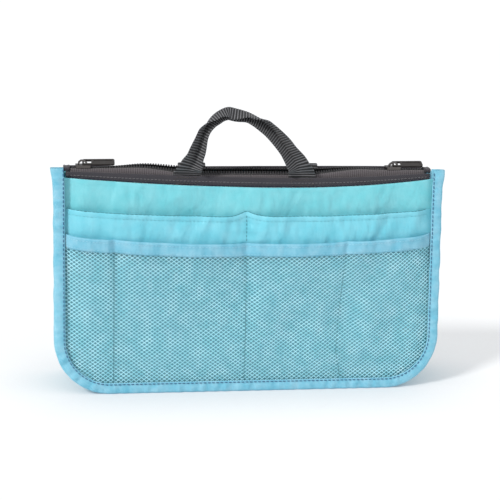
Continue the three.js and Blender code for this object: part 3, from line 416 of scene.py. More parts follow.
def seam_stations(inset, start, end, step):
    """Points along the seam from the left mouth corner round the base to the right one."""
    radius = CORNER_RADIUS - inset
    arc = radius * np.pi / 2
    marks = np.cumsum([0, SIDE_RUN, arc, 2 * BASE_HALF, arc, SIDE_RUN])
    s = np.linspace(start, marks[5] - end, int((marks[5] - start - end) / step) + 1)
    left, right = s < marks[2], s > marks[3]
    turn = np.clip(np.where(left, s - marks[1], marks[4] - s) / radius, 0, np.pi / 2)
    side = np.where(left, -1, np.where(right, 1, 0))
    x = np.where(side == 0, s - marks[2] - BASE_HALF, side * (BASE_HALF + radius * np.cos(turn)))
    z = np.where(side == 0, inset, CORNER_RADIUS - radius * np.sin(turn))
    z = np.where(s < marks[1], SEAM_HEIGHT - s, z)
    z = np.where(s > marks[4], CORNER_RADIUS + s - marks[4], z)
    inward_x = np.where(side == 0, 0, -side * np.cos(turn))
    inward_z = np.where(side == 0, 1, np.sin(turn))
    return s, x, z, inward_x, inward_z


def rounded(points, times):
    """Corners cut off a polyline again and again; its ends stay."""
    for _ in range(times):
        a, b = points[..., :-1, :], points[..., 1:, :]
        cut = np.stack([mix(a, b, 0.25), mix(a, b, 0.75)], -2)
        cut = cut.reshape(*points.shape[:-2], -1, points.shape[-1])
        points = np.concatenate([points[..., :1, :], cut[..., 1:-1, :], points[..., -1:, :]], -2)
    return points

def cross_sections(x, pairs):
    """A rounded cross-section at each x, from pairs of numbers or of arrays that go along x."""
    return rounded(np.stack([joined(a + 0 * x, b) for a, b in pairs], 1), 3)


def strip(name, middle, half, material):
    """A cloth of some half thickness about a grid of points; its places are lengths along it."""
    along = np.gradient(middle, axis=0)
    across = np.gradient(middle, axis=1)
    normal = np.cross(along, across)
    normal = normal / np.maximum(np.linalg.norm(normal, axis=-1, keepdims=True), 1e-9)
    thick = np.broadcast_to(half, middle.shape[:2])[..., None]
    u = np.cumsum(np.linalg.norm(np.diff(middle, axis=0, prepend=middle[:1]), axis=-1), 0)
    v = np.cumsum(np.linalg.norm(np.diff(middle, axis=1, prepend=middle[:, :1]), axis=-1), 1)
    u = np.broadcast_to(u.mean(1, keepdims=True), v.shape)
    places = joined(u, v)
    return shell(name, middle + normal * thick, middle - normal * thick, places, material)


lining = cloth_material("lining", (0.18, 0.6, 0.67, 1), roughness=0.6, sheen=0.1, size=12.0)


def gusset(name, start, end):
    s, x, z, nx, nz = seam_stations(EDGE_INSET, start, end, 3.0)
    depth = seam_depth(z)
    leaves, gap = 8.3, 0.6
    fold = leaves + gap + np.sqrt(np.maximum(FOOT_DEPTH ** 2 - depth ** 2, 0))
    soft = 0.35 * waves(s, s * 0, 5, 30, 900)
    flat = cross_sections(s, [
        (0, gap - depth), (leaves, gap - depth), (fold - gap, -0.5), (fold - 0.2 + soft * 0.3, 0),
        (fold - gap, 0.5), (leaves, depth - gap), (0, depth - gap),
    ])
    n, y = flat[..., 0], flat[..., 1]
    zz = z[:, None] + nz[:, None] * n
    lean_in = np.sign(y) * np.clip((np.abs(y) - 4) / 12, 0, 1) * (depth[:, None] - seam_depth(zz))
    middle = joined(x[:, None] + nx[:, None] * n, y - lean_in, zz)
    return strip(name, middle, CLOTH_HALF, lining)


total = SIDE_RUN * 2 + (CORNER_RADIUS - EDGE_INSET) * np.pi + 2 * BASE_HALF
for name, node, start, end, width in (
    ("left_gusset_cloth", "left_side_gusset", 12.5, total - SIDE_RUN, 0.11),
    ("bottom_gusset_cloth", "bottom_gusset", 122.3, 122.3, 0.327),
    ("right_gusset_cloth", "right_side_gusset", total - SIDE_RUN, 12.5, 0.11),
):
    made = gusset(name, start, end)
    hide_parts(node)
    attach(made, "pouch")


# Bindings: sky-blue tape folded over each seam, puckered a little by its stitching.
# It flares outward at the mouth corners. A row of thread runs just inside its edge.
def tape_material(name, color, edge_color, roughness, pitch, slant, depth=0.12):
    """Narrow tape: fine ribs across it or twill lines at a slant, paler where it is worn."""
    material, tree = new_material(name)
    place = shade(tree, "UVMap", {"uv_map": "Place"}).outputs[0]
    split = shade(tree, "SeparateXYZ", i0=place)
    skew = sums(tree, "MULTIPLY_ADD", split.outputs[1], slant)
    tree.links.new(split.outputs[0], skew.node.inputs[2])
    lines = sums(tree, "SINE", sums(tree, "MULTIPLY", skew, 2 * math.pi / pitch))
    dye_and_sheen = grouped(tree, mottle_and_sheen, Color=color, Place=place, Size=9.0, Depth=depth)
    worn = sums(tree, "MULTIPLY_ADD", lines, 0.25)
    worn.node.inputs[2].default_value = 0.3
    toned = shade(tree, "Mix", {"data_type": "RGBA"}, i0=worn, i6=dye_and_sheen, i7=edge_color)
    threads = grouped(tree, weave, Place=place, Pitch=0.4)
    ribs = shade(tree, "Bump", Strength=0.7, Distance=0.00008, Height=lines)
    woven = shade(tree, "Bump", Strength=0.35, Distance=0.00004, Height=threads, Normal=ribs.outputs[0])
    cloth = shade(tree, "BsdfPrincipled", Base_Color=toned.outputs[2], Roughness=roughness,
                  Normal=woven.outputs[0])
    cloth.inputs["Sheen Weight"].default_value = 0.2
    cloth.inputs["Specular IOR Level"].default_value = 0.3
    shade(tree, "OutputMaterial", Surface=cloth.outputs[0])
    return material


def unit(vectors):
    return vectors / np.linalg.norm(vectors, axis=-1, keepdims=True)


def lengths(points):
    """How far along a line each of its points lies."""
    return np.concatenate([[0], np.cumsum(np.linalg.norm(np.diff(points, axis=0), axis=1))])


def seam_thread(name, lines, material, pitch, radius, share=0.72):
    """Stitches along lines of points, each a short thread that dips into the cloth at its ends."""
    steps, around = 5, 6
    angle = np.linspace(0, 2 * np.pi, around, endpoint=False)
    along = np.array([0, 0.18, 0.5, 0.82, 1])
    width = np.array([0.5, 0.95, 1, 0.95, 0.5]) * radius
    lift = np.array([-0.6, 0.3, 0.7, 0.3, -0.6]) * radius
    points, faces, places = [], [], []
    for line, normal in lines:
        line = np.asarray(line, float)
        s = lengths(line)
        normals = np.broadcast_to(np.asarray(normal, float), line.shape)
        for start in np.arange(0.4, s[-1] - pitch, pitch):
            at = start + along * pitch * share
            p = np.stack([np.interp(at, s, line[:, k]) for k in range(3)], -1)
            n = unit(np.stack([np.interp(at, s, normals[:, k]) for k in range(3)], -1))
            side = unit(np.cross(p[-1] - p[0], n[2]))
            ring = (
                p[:, None] + n[:, None] * (lift[:, None] + width[:, None] * np.sin(angle))[..., None]
                + side * (width[:, None] * np.cos(angle))[..., None]
            )
            base = len(points) * steps * around
            last = base + (steps - 1) * around
            points.append(ring.reshape(-1, 3))
            for j in range(steps - 1):
                a, b = base + j * around, base + (j + 1) * around
                for i in range(around):
                    k = (i + 1) % around
                    faces.append((a + i, a + k, b + k, b + i))
                    places += [(at[j], i), (at[j], i + 1), (at[j + 1], i + 1), (at[j + 1], i)]
            faces += [tuple(range(base + around - 1, base - 1, -1)), tuple(range(last, last + around))]
            places += [(at[0], i) for i in range(around)] + [(at[-1], i) for i in range(around)]
    return piece(name, np.concatenate(points), faces, places, material)


def thread_material(name, color, edge_color, roughness=0.5):
    return tape_material(name, color, edge_color, roughness, pitch=0.8, slant=0.3)


sky = tape_material("binding", (0.155, 0.45, 0.605, 1), (0.31, 0.66, 0.79, 1), 0.55, 0.9, 0.0, 0.6)
thread_blue = thread_material("binding_thread", (0.015, 0.09, 0.2, 1), (0.08, 0.24, 0.4, 1))
thread_aqua = thread_material("nylon_thread", (0.15, 0.52, 0.59, 1), (0.2, 0.6, 0.68, 1))
thread_teal = thread_material("seam_thread", (0.02, 0.2, 0.26, 1), (0.1, 0.4, 0.46, 1))
thread_pale = thread_material("pale_thread", (0.32, 0.64, 0.78, 1), (0.4, 0.72, 0.86, 1))


def binding(name, side, seed):
    drop = 4.5 if side > 0 else 0
    s, x, z, nx, nz = seam_stations(0, drop, drop, 1.6)
    flare = -1.8 * ease((z - 146) / 16) + 0.25 * waves(s, 0 * s, seed, 18, 900)
    pucker = 0.75 * waves(s, 0 * s, seed + 1, 8.5, 900)
    profile = cross_sections(s, [
        (SEAM_WIDTH, -1.5), (0.2, -1.5), (-0.1, 1.4), (0.2, 4.5 + pucker * 0.5),
        (4, 5.1 + pucker), (6.2, 4.75 + pucker * 0.2), (SEAM_WIDTH, 4.6),
    ])
    n = profile[..., 0] + flare[:, None] * np.clip(1 - profile[..., 0] / 16, 0, 1)
    xx = x[:, None] + nx[:, None] * n
    zz = z[:, None] + nz[:, None] * profile[..., 0]
    yy = side * (seam_depth(zz) + profile[..., 1])
    made = strip(name, joined(xx, yy, np.maximum(zz, CLOTH_HALF)), CLOTH_HALF, sky)
    inset, height = 7.0, 5.2
    stitch_z = z + nz * inset
    stitch = joined(x + nx * inset, side * (seam_depth(stitch_z) + height), stitch_z)
    return made, (stitch, (0, side, 0))


for label, side in (("front", -1), ("back", 1)):
    made, line = binding(f"{label}_binding_tape", side, 20 + side)
    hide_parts(f"{label}_binding")
    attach(made, "pouch")
    stitches = seam_thread(f"{label}_binding_tape_stitches", [line], thread_blue, 3.1, 0.36)
    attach(stitches, "pouch")


# Front slip pocket: one cloth with a turned hem, held by a stitched seam in its middle.
# The cloth bellies out between its seams, and the seam draws short puckers into it.
MIDDLE_SEAM, HEM_WIDTH, TO_FRONT, THREAD_LIFT = -4.6, 3.2, (0, -1, 0), 0.05
POCKET_HALF, POCKET_GAP, POCKET_THICKNESS = 133.4, 0.9, 0.6
POCKET_OPENING, POCKET_FULLNESS = 6.3, 3


def slip_top(x):
    corner, sag, peak, peak_width = 133.5, 4, 3, 6
    raised = peak * np.exp(-np.abs((x - MIDDLE_SEAM) / peak_width) ** 1.5)
    return corner - sag * sag_share(x, 0) + raised


def pocket_swell(x, z, seams, top, opening, fullness):
    up = np.clip((z - seam_top(x)) / (top - seam_top(x)), 0, 1.02) ** fullness
    swell = np.zeros(np.shape(x))
    for left, right in zip(seams[:-1], seams[1:]):
        share = np.clip((x - (left + right) / 2) / ((right - left) / 2), -1, 1)
        swell = swell + opening * (1 - share ** 4) * up
    return swell


def slip_outer(x, z):
    seams = (-POCKET_HALF, MIDDLE_SEAM, POCKET_HALF)
    swell = pocket_swell(x, z, seams, slip_top(x), POCKET_OPENING, POCKET_FULLNESS)
    folds = 0.5 + 0.5 * waves(x, z, 8, 44, 60)
    ripple = 1 + np.sin(z * 0.75 + waves(x, z, 4, 40, 30))
    drawn = 0.35 * np.exp(-np.abs(x - MIDDLE_SEAM) / 9) * ripple
    pressed = creases(x, z, [
        (-91, 131, -86, 112, 2.4, -0.7), (-60, 131, -54, 114, 2.8, -0.7),
        (-33, 130, -38, 116, 2.6, 0.5), (30, 130, 26, 114, 3, -0.6), (62, 130, 68, 112, 2.8, 0.6),
        (100, 132, 94, 113, 2.4, -0.7), (-118, 130, -112, 117, 2.4, 0.5), (84, 130, 86, 118, 2, -0.5),
    ])
    fine = waves(x, z, 37, 10, 24)
    soft = 1.7 * folds + 0.24 * fine + drawn + 1.5 * pressed
    return panel_outer(x, z) + POCKET_GAP + swell + inside_seams(x, z) * soft


rows = np.concatenate([np.linspace(0, 0.75, 28), np.linspace(0.75, 1, 56)[1:]])
grid = cloth_grid(slip_top, rows, 200)
outer = slip_outer(*grid)
turned = turned_hem(grid, slip_top, HEM_WIDTH, 0.2)
netted = cloth_material("netted_nylon", (0.185, 0.6, 0.72, 1), **nylon_finish, shaded=105.0)
slip_cloth = wall_sheet("front_slip_cloth", grid, outer + turned, outer - POCKET_THICKNESS, -1, netted)
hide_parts("front_slip_pocket")
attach(slip_cloth, "pouch")
x = np.linspace(-132, 132, 180)
z = slip_top(x) - HEM_WIDTH - 0.4
hem_line = joined(x, -slip_outer(x, z) - THREAD_LIFT, z)
# A dark teal thread along the pocket's top edge paints the shadow gap between the pocket and the wall
# behind it
shadow_line_path = joined(x, 0.35 - slip_outer(x, slip_top(x)), slip_top(x) + 0.1)
z = np.linspace(9, slip_top(np.array(MIDDLE_SEAM)), 90)
x = MIDDLE_SEAM + 0 * z
middle_line = joined(x, -slip_outer(x, z) - THREAD_LIFT, z)
slip_stitches = seam_thread("slip_hem_stitches", [(hem_line, TO_FRONT)], thread_aqua, 2.8, 0.12)
painted_shadow_gap = seam_thread("slip_edge_stitches", [(shadow_line_path, TO_FRONT)], thread_teal, 3, 0.3, 0.98)
middle_stitches = seam_thread("slip_seam_stitches", [(middle_line, TO_FRONT)], thread_teal, 2.8, 0.26)
for stitches in (slip_stitches, painted_shadow_gap, middle_stitches):
    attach(stitches, "pouch")


# Mesh pocket: a pale net of crossing strands, sewn down along three seams into four pockets.
# The strands are drawn one by one, each a little ribbon that goes over and under the others.
LEFT_SEAM = -99.6


def mesh_top(x):
    corner, sag = 115, 5.4
    return corner - sag * sag_share(x, 0)


def right_seam(z):
    return np.interp(z, [10.8, 28.8, 48.7, 110], [67.4, 63.4, 64.6, 68.6])


def net_inner(x, z):
    seams = (-POCKET_HALF, LEFT_SEAM, MIDDLE_SEAM, right_seam(z), POCKET_HALF)
    band = np.clip(1 - (mesh_top(x) - z) / 17, 0, 1)
    return slip_outer(x, z) + 0.5 + 0.7 * band + pocket_swell(x, z, seams, mesh_top(x), 4.8, 1.5)


def ring_quads(at):
    """Quads between the rings of a tube, from its vertex numbers, one row to a ring."""
    onward = np.roll(at, -1, 1)
    return joined(at[:-1], onward[:-1], onward[1:], at[1:]).reshape(-1, 4)


def net_strands(wide, tall, width, thick):
    """Ribbons that cross in diamonds of a size, cut off at the pocket's outline."""
    height, margin, half, half_width = 118, 1.4, tall / 2, BASE_HALF + CORNER_RADIUS
    reach = half_width + height * wide / tall
    edge = half_width - margin
    levels = np.arange(0, height / half)
    corners = np.array([(-1, -1), (1, -1), (1, 1), (-1, 1)]) * (width / 2, thick)
    points, faces = [], []
    count = 0
    for lean_side in (-1, 1):
        across = unit(np.array([half, 0, -lean_side * wide / 2]))
        for start in np.arange(-reach, reach, wide):
            x = start + lean_side * levels * wide / 2
            z = levels * half
            kept = (np.abs(x) < edge) & (z > outline_bottom(np.clip(x, -edge, edge), margin))
            kept &= z < mesh_top(np.clip(x, -SEAM_HALF, SEAM_HALF)) - 0.8
            if kept.sum() < 3:
                continue
            x, z, level = x[kept], z[kept], levels[kept]
            over = 0.12 * lean_side * np.where(level % 2 == 0, 1, -1)
            middle = joined(x, -net_inner(x, z) - 0.25 - over, z)
            ring = middle[:, None] + corners[:, :1] * across + corners[:, 1:] * np.array([0, -1, 0])
            points.append(ring.reshape(-1, 3))
            n = len(x)
            at = count + np.arange(n * 4).reshape(n, 4)
            faces += [ring_quads(at), at[[0]][:, ::-1], at[[-1]]]
            count += n * 4
    points = np.concatenate(points)
    faces = np.concatenate(faces)
    return points, faces.tolist(), points[faces.ravel()][:, [0, 2]]


net_look = tape_material("net", (0.37, 0.82, 0.97, 1), (0.56, 0.96, 1, 1), 0.62, 0.6, 0.5, 0.8)
net_cloth = piece("mesh_net", *net_strands(3.7, 2.8, 0.54, 0.15), net_look)
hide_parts("mesh_pocket")
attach(net_cloth, "pouch")
seam_lines = []
for seam in (lambda z: LEFT_SEAM + 0 * z, lambda z: MIDDLE_SEAM + 0 * z, right_seam):
    z = np.linspace(9, 110, 80)
    x = seam(z)
    seam_lines.append((joined(x, -net_inner(x, z) - 0.5, z), TO_FRONT))
net_stitches = seam_thread("mesh_seam_stitches", seam_lines, thread_teal, 2.8, 0.28)
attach(net_stitches, "pouch")


# Mesh pocket binding: tape folded over the net's top edge.
# It is stitched in pale thread near its fold and along its lower edge.
tape_reach = 8.5
x = np.linspace(-POCKET_HALF, POCKET_HALF, 220)
foot = net_inner(x, mesh_top(x) - tape_reach)
head = net_inner(x, mesh_top(x))
soft = 0.25 * waves(x, 0 * x, 31, 9, 900)
profile = cross_sections(x, [
    (-2.8, -0.47), (0.3, -0.47), (0.75, 0.25), (0.3, 0.97),
    (-2.6, 1.15 + soft), (-6.4, 1.15 + soft), (-8.6, 0.95),
])
share = np.clip(1 + profile[..., 0] / tape_reach, 0, 1)
middle = joined(
    x[:, None],
    -mix(foot[:, None], head[:, None], share) - profile[..., 1],
    mesh_top(x)[:, None] + profile[..., 0],
)
band = strip("mesh_pocket_tape", middle, 0.25, sky)
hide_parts("mesh_pocket_band")
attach(band, "pouch")
stitch_lines = []
for share, below in ((0.16, 7.1), (0.86, 1.2)):
    stitch_lines.append((joined(x, -mix(foot, head, share) - 1.42, mesh_top(x) - below), TO_FRONT))
band_stitches = seam_thread("mesh_tape_stitches", stitch_lines, thread_pale, 2.4, 0.14)
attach(band_stitches, "pouch")


# Back slip pocket: a second hemmed cloth on the back wall, sewn down its middle.
# The back wall's own hem is stitched here too, with the same thread.
def back_pocket_top(x):
    corner, sag = 118, 3
    return corner - sag * sag_share(x, 0)


def back_pocket_outer(x, z):
    seams = (-POCKET_HALF, 0, POCKET_HALF)
    swell = pocket_swell(x, z, seams, back_pocket_top(x), POCKET_OPENING, POCKET_FULLNESS)
    folds = 0.5 + 0.5 * waves(x, z, 17, 40, 130)
    drawn = 0.35 * np.exp(-np.abs(x) / 9) * (1 + np.sin(z * 0.75))
    return back_outer(x, z) + POCKET_GAP + swell + inside_seams(x, z) * (0.7 * folds + drawn)


grid = cloth_grid(back_pocket_top, rows, 200)
outer = back_pocket_outer(*grid)
turned = turned_hem(grid, back_pocket_top, HEM_WIDTH, 0.45)
back_pocket = wall_sheet("back_slip_cloth", grid, outer + turned, outer - POCKET_THICKNESS, 1, nylon)
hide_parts("back_slip_pocket")
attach(back_pocket, "pouch")
x = np.linspace(-132, 132, 180)
z = back_pocket_top(x) - HEM_WIDTH - 0.4
hem_line = joined(x, back_pocket_outer(x, z) + THREAD_LIFT, z)
z = np.linspace(9, 115, 80)
middle_line = joined(0, back_pocket_outer(0 * z, z) + THREAD_LIFT, z)
x = np.linspace(-131, 131, 180)
z = back_top(x) - 3.9
top_line = joined(x, back_outer(x, z) + THREAD_LIFT, z)
back_lines = [(line, (0, 1, 0)) for line in (hem_line, middle_line, top_line)]
back_stitches = seam_thread("back_nylon_stitches", back_lines, thread_aqua, 2.8, 0.2)
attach(back_stitches, "pouch")


# Inner pocket: a patch of lining on the back wall's inside, open at its top.
# It bellies into the pouch between its side seams.
half, foot, head = 88, 24, 134
u = np.linspace(-1, 1, 90)
v = np.linspace(0, 1, 50)[:, None]
x = np.broadcast_to(half * u, (50, 90))
z = np.broadcast_to(mix(foot, head, v), (50, 90))
swell = 6.6 * (1 - u ** 4) * v + 0.3 * (1 - u ** 2) * v * waves(x, z, 41, 30, 90)
inner = wall_depth(x, z) - 0.3 - swell
lined = inner - POCKET_THICKNESS - hem(head - z, 3, 0.3)
inner_pocket = wall_sheet("inner_pocket_cloth", (x, z), inner, lined, 1, lining)
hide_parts("inner_back_pocket")
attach(inner_pocket, "pouch")


# Mouth facings: dark twill tape that stands on the walls' top edges, in front of the zip.
# A near-black navy thread over the seam between tape and wall paints the shadow line there; a row of
# stitches runs above it.
charcoal = tape_material("facing", (0.026, 0.024, 0.03, 1), (0.085, 0.078, 0.09, 1), 0.85, 1.5, 1.0, 0.4)
grey_thread = thread_material("grey_thread", (0.12, 0.115, 0.12, 1), (0.3, 0.29, 0.3, 1), 0.6)
# A near-black thread that paints the shadow line along the facings' lower edges
shadow_line_thread = thread_material("shadow_line_thread", (0.003, 0.008, 0.02, 1), (0.01, 0.02, 0.045, 1), 0.8)
dark_thread = thread_material("dark_thread", (0.03, 0.025, 0.02, 1), (0.17, 0.14, 0.1, 1), 0.6)


def facing_rise(x):
    return mix(3.5, 7, np.sqrt(sag_share(x, 0)))


for label, side, top in (("front", -1, front_top), ("back", 1, back_top)):
    x = np.linspace(-POCKET_HALF, POCKET_HALF, 200)[:, None]
    up = np.linspace(0, 1, 12)
    z = mix(top(x) - 4, top(x) + facing_rise(x), up)
    depth = wall_depth(x, np.minimum(z, top(x))) - 0.7 + 0.12 * waves(x, z, 50 + side, 16, 60)
    middle = joined(x, side * depth, z)
    made = strip(f"{label}_facing_tape", middle, 0.4, charcoal)
    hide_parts(f"{label}_mouth_facing")
    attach(made, "pouch")
    x = x[:, 0]
    z = top(x) + 0.5
    # Painted shadow line: near-black navy thread over the seam between facing and wall
    shadow_line_path = joined(x, side * (wall_depth(x, top(x)) - 0.15), z)
    painted_shadow_line = seam_thread(f"{label}_facing_edging", [(shadow_line_path, (0, side, 0))], shadow_line_thread,
                         3, 0.5, 0.98)
    row = joined(x, side * (wall_depth(x, top(x)) - 0.22), top(x) + 0.45 * facing_rise(x))
    stitches = seam_thread(f"{label}_facing_stitches", [(row, (0, side, 0))], grey_thread, 2.6, 0.22)
    for sewn in (painted_shadow_line, stitches):
        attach(sewn, "pouch")


# Zip tapes: each side's tape climbs from its seam to the row of teeth, and folds back in the
# open middle. Each is cut in halves at the middle.
CHAIN_LEVEL, CHAIN_SAG = 160.4, 5.5
# Each half's first and last x in millimetres, and the start and end of its blend in metres
ROW_HALVES = (("left", -130, 0, -0.1155, -0.0405), ("right", 0, 130, 0.1015, 0.0265))


def open_share(x):
    left_closed, right_closed, run = -115.5, 101.5, 75
    return np.minimum(ease((x - left_closed) / run), ease((right_closed - x) / run))


def chain_height(x):
    return CHAIN_LEVEL - CHAIN_SAG * ease((85 - np.abs(x)) / 50)


def fold_back(side, points):
    """Turns points of a row about the line where its tape is sewn, furthest in the open middle."""
    sewn_y, sewn_z, angle = (-9.6, 147.6, 33) if side < 0 else (9.5, 150.5, 40)
    x, y, z = points[..., 0], points[..., 1] - sewn_y, points[..., 2] - sewn_z
    turn = -side * math.radians(angle) * open_share(x)
    cosine, sine = np.cos(turn), np.sin(turn)
    return joined(x, sewn_y + y * cosine - z * sine, sewn_z + y * sine + z * cosine)


zip_tape = tape_material("zip_tape", (0.045, 0.038, 0.042, 1), (0.2, 0.18, 0.19, 1), 0.8, 1.6, 0.0)
for side, top, label in ((-1, front_top, "front"), (1, back_top, "back")):
    for end, first, last, near, far in ROW_HALVES:
        x = np.linspace(first, last, 90)
        sewn = wall_depth(x, top(x) - 3.6) - 2.9
        chain = chain_height(x)
        flat = cross_sections(x, [
            (sewn - 0.3, top(x) - 3.6), (sewn - 0.3, top(x) - 2), (5.1, chain), (3.1, chain),
        ])
        middle = joined(x[:, None], side * flat[..., 0], flat[..., 1])
        made = strip(f"{label}_zip_tape_{end}", fold_back(side, middle), CLOTH_HALF, zip_tape)
        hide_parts(f"{label}_zip_tape")
        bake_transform(made)


# Zip teeth: a cord along each tape's edge and moulded teeth on it, half a pitch apart between rows.
# None is drawn where a slider's wedge parts the rows at rest.
TOOTH_PITCH, TOOTH_REACH, WEDGE_HALF, WEDGES = 1.9, 0.5, 2.6, (-117, 103)


def squared(wave, power):
    return np.sign(wave) * np.abs(wave) ** power


def tooth_body(x, side):
    """One tooth: a rounded block from the cord to its head, drawn closed."""
    angle = np.linspace(0, 2 * np.pi, 10, endpoint=False)
    depth = np.array([2.9, 2.7, 1.4, 0.6, 0.35 - TOOTH_REACH, -TOOTH_REACH])
    long = np.array([0.35, 0.56, 0.62, 0.52, 0.6, 0.38])
    tall = np.array([0.5, 0.85, 0.9, 0.8, 0.85, 0.5])
    return joined(
        x + long[:, None] * squared(np.cos(angle), 0.6),
        side * depth[:, None],
        chain_height(x) + tall[:, None] * squared(np.sin(angle), 0.6),
    )


def row_of_teeth(name, side, first, last, shift, material):
    x = np.linspace(first, last, 80)[:, None]
    angle = np.linspace(0, 2 * np.pi, 8, endpoint=False)
    cord = joined(x, side * (2.15 + 0.72 * np.cos(angle)), chain_height(x) + 0.66 * np.sin(angle))
    bodies = [cord]
    for place in np.arange(-128.5 + shift, 129, TOOTH_PITCH):
        if first < place <= last and min(abs(place - wedge) for wedge in WEDGES) > WEDGE_HALF:
            bodies.append(tooth_body(place, side))
    points, faces, places = [], [], []
    count = 0
    for rings in bodies:
        n, m = rings.shape[:2]
        points.append(fold_back(side, rings).reshape(-1, 3))
        at = count + np.arange(n * m).reshape(n, m)
        quads = ring_quads(at)
        faces += quads.tolist() + [at[0][::-1].tolist(), at[-1].tolist()]
        places += [(float(rings[0, 0, 0]), 0.0)] * (4 * len(quads) + 2 * m)
        count += n * m
    return piece(name, np.concatenate(points), faces, places, material)


def metal_material(name, color, roughness, metallic):
    material, tree = new_material(name)
    place = shade(tree, "TexCoord").outputs["Object"]
    worn = grouped(tree, mottle_and_sheen, Color=color, Place=place, Size=0.004, Depth=0.5)
    scratch = shade(tree, "TexNoise", Vector=place, Scale=900.0, Detail=2.0)
    rough = shade(tree, "MapRange", i0=scratch.outputs[0], i3=roughness - 0.08, i4=roughness + 0.12)
    dented = shade(tree, "Bump", Strength=0.15, Distance=0.0001, Height=scratch.outputs[0])
    metal = shade(tree, "BsdfPrincipled", Base_Color=worn, Roughness=rough.outputs[0], Metallic=metallic,
                  Normal=dented.outputs[0])
    shade(tree, "OutputMaterial", Surface=metal.outputs[0])
    return material


teeth_look = metal_material("teeth", (0.022, 0.02, 0.022, 1), 0.4, 0.0)
for side, label, shift in ((-1, "front", 0.0), (1, "back", TOOTH_PITCH / 2)):
    for end, first, last, near, far in ROW_HALVES:
        made = row_of_teeth(f"{label}_zip_teeth_{end}", side, first, last, shift, teeth_look)
        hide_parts(f"{label}_zip_teeth")
        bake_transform(made)


# End tabs: a scrap of tape folded over each end of the rows and sewn through.
# Each is a rounded block, pinched where it is sewn.
tab_length, steps, around = 4.8, 16, 36
for label, start in (("left", -135.1), ("right", 130.3)):
    angle = np.linspace(0, 2 * np.pi, around, endpoint=False)
    along = np.linspace(0, 1, steps)
    pinch = 1 - 0.22 * np.sin(np.pi * along) ** 2
    bead = np.minimum(1, np.sin(np.pi * np.clip(along, 0.04, 0.96)) * 3) ** 0.3
    rings = joined(
        (start + tab_length * along)[:, None],
        6 * bead[:, None] * squared(np.cos(angle), 0.7),
        CHAIN_LEVEL + 2.2 * (bead * pinch)[:, None] * squared(np.sin(angle), 0.8),
    )
    at = np.arange(steps * around).reshape(steps, around)
    quads = ring_quads(at)
    faces = quads.tolist() + [at[0][::-1].tolist(), at[-1].tolist()]
    flat = rings.reshape(-1, 3)
    places = flat[np.concatenate([quads.ravel(), at[0][::-1], at[-1]])][:, :2]
    made = piece(f"{label}_end_tab_cloth", flat, faces, places, charcoal)
    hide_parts(f"{label}_zip_end_tab")
    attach(made, "pouch")


# Sliders and pulls: cast metal with a gunmetal finish, edges rounded.
# They keep their CAD shape; each pull has rolled a little towards the front on its ring.
gunmetal = metal_material("gunmetal", (0.12, 0.11, 0.105, 1), 0.34, 0.9)
for node in ("left_zip_slider", "right_zip_slider", "left_zip_pull", "right_zip_pull"):
    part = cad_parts[node]
    part.material_slots[0].material = gunmetal
    if "pull" in node:
        low, high = (Vector(corner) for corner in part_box(node))
        middle = Matrix.Translation((low + high) / 2)
        rolled = part.data.copy()
        rolled.transform(middle @ Matrix.Rotation(math.radians(26), 4, "X") @ middle.inverted())
        part = linked(node.replace("zip_pull", "pull_tab"), rolled)
        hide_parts(node)
        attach(part, node.replace("zip_", ""))
    edge = part.modifiers.new("edge", "BEVEL")
    edge.width = 0.00022
    edge.segments = 3
    edge.limit_method = "ANGLE"
    edge.harden_normals = False


# Front handle: ribbed webbing whose ends are sewn behind the front facing.
# It is flat at the ends and folds along its middle where a hand has held it.
RIB_PITCH, WEBBING_HALF, FRONT_LEGS = 1.95, 10, (-48, 36.5)


def smooth_route(knots, samples):
    """A centripetal curve through the knots, at even steps."""
    knots = np.asarray(knots, float)
    knots = np.concatenate([[2 * knots[0] - knots[1]], knots, [2 * knots[-1] - knots[-2]]])
    found = []
    for i in range(1, len(knots) - 2):
        p = knots[i - 1:i + 3]
        t = np.concatenate([[0], np.cumsum(np.linalg.norm(np.diff(p, axis=0), axis=1) ** 0.5)])
        at = np.linspace(t[1], t[2], 60, endpoint=i == len(knots) - 3)[:, None]
        a1 = (t[1] - at) / (t[1] - t[0]) * p[0] + (at - t[0]) / (t[1] - t[0]) * p[1]
        a2 = (t[2] - at) / (t[2] - t[1]) * p[1] + (at - t[1]) / (t[2] - t[1]) * p[2]
        a3 = (t[3] - at) / (t[3] - t[2]) * p[2] + (at - t[2]) / (t[3] - t[2]) * p[3]
        b1 = (t[2] - at) / (t[2] - t[0]) * a1 + (at - t[0]) / (t[2] - t[0]) * a2
        b2 = (t[3] - at) / (t[3] - t[1]) * a2 + (at - t[1]) / (t[3] - t[1]) * a3
        found.append((t[2] - at) / (t[2] - t[1]) * b1 + (at - t[1]) / (t[2] - t[1]) * b2)
    found = np.concatenate(found)
    s = lengths(found)
    even = np.linspace(0, s[-1], samples)
    return np.stack([np.interp(even, s, found[:, k]) for k in range(3)], -1)


def along_table(table, share):
    at, value = np.array(table).T
    i = np.clip(np.searchsorted(at, share, side="left"), 1, len(at) - 1)
    return mix(value[i - 1], value[i], ease((share - at[i - 1]) / (at[i] - at[i - 1])))


def facing_out(route, turn):
    """The shares along a route, and at each the way out of its bend, which is sideways at its ends."""
    share = np.linspace(0, 1, len(route))
    tangent = unit(np.gradient(route, axis=0))
    out = turn * joined(-tangent[:, 2], 0, tangent[:, 0])
    ends = joined(np.where(share < 0.5, -1, 1), 0, 0)
    return share, unit(mix(ends, out, ease(4 * np.sin(share * np.pi))[:, None]))


def with_legs(route, out, legs):
    """The route with a leg at each end, and its way out, which is sideways on the legs."""
    sideways = [np.tile([side, 0.0, 0], (len(legs[0]), 1)) for side in (-1, 1)]
    return (np.concatenate([legs[0], route, legs[1][::-1]]),
            np.concatenate([sideways[0], out, sideways[1]]))


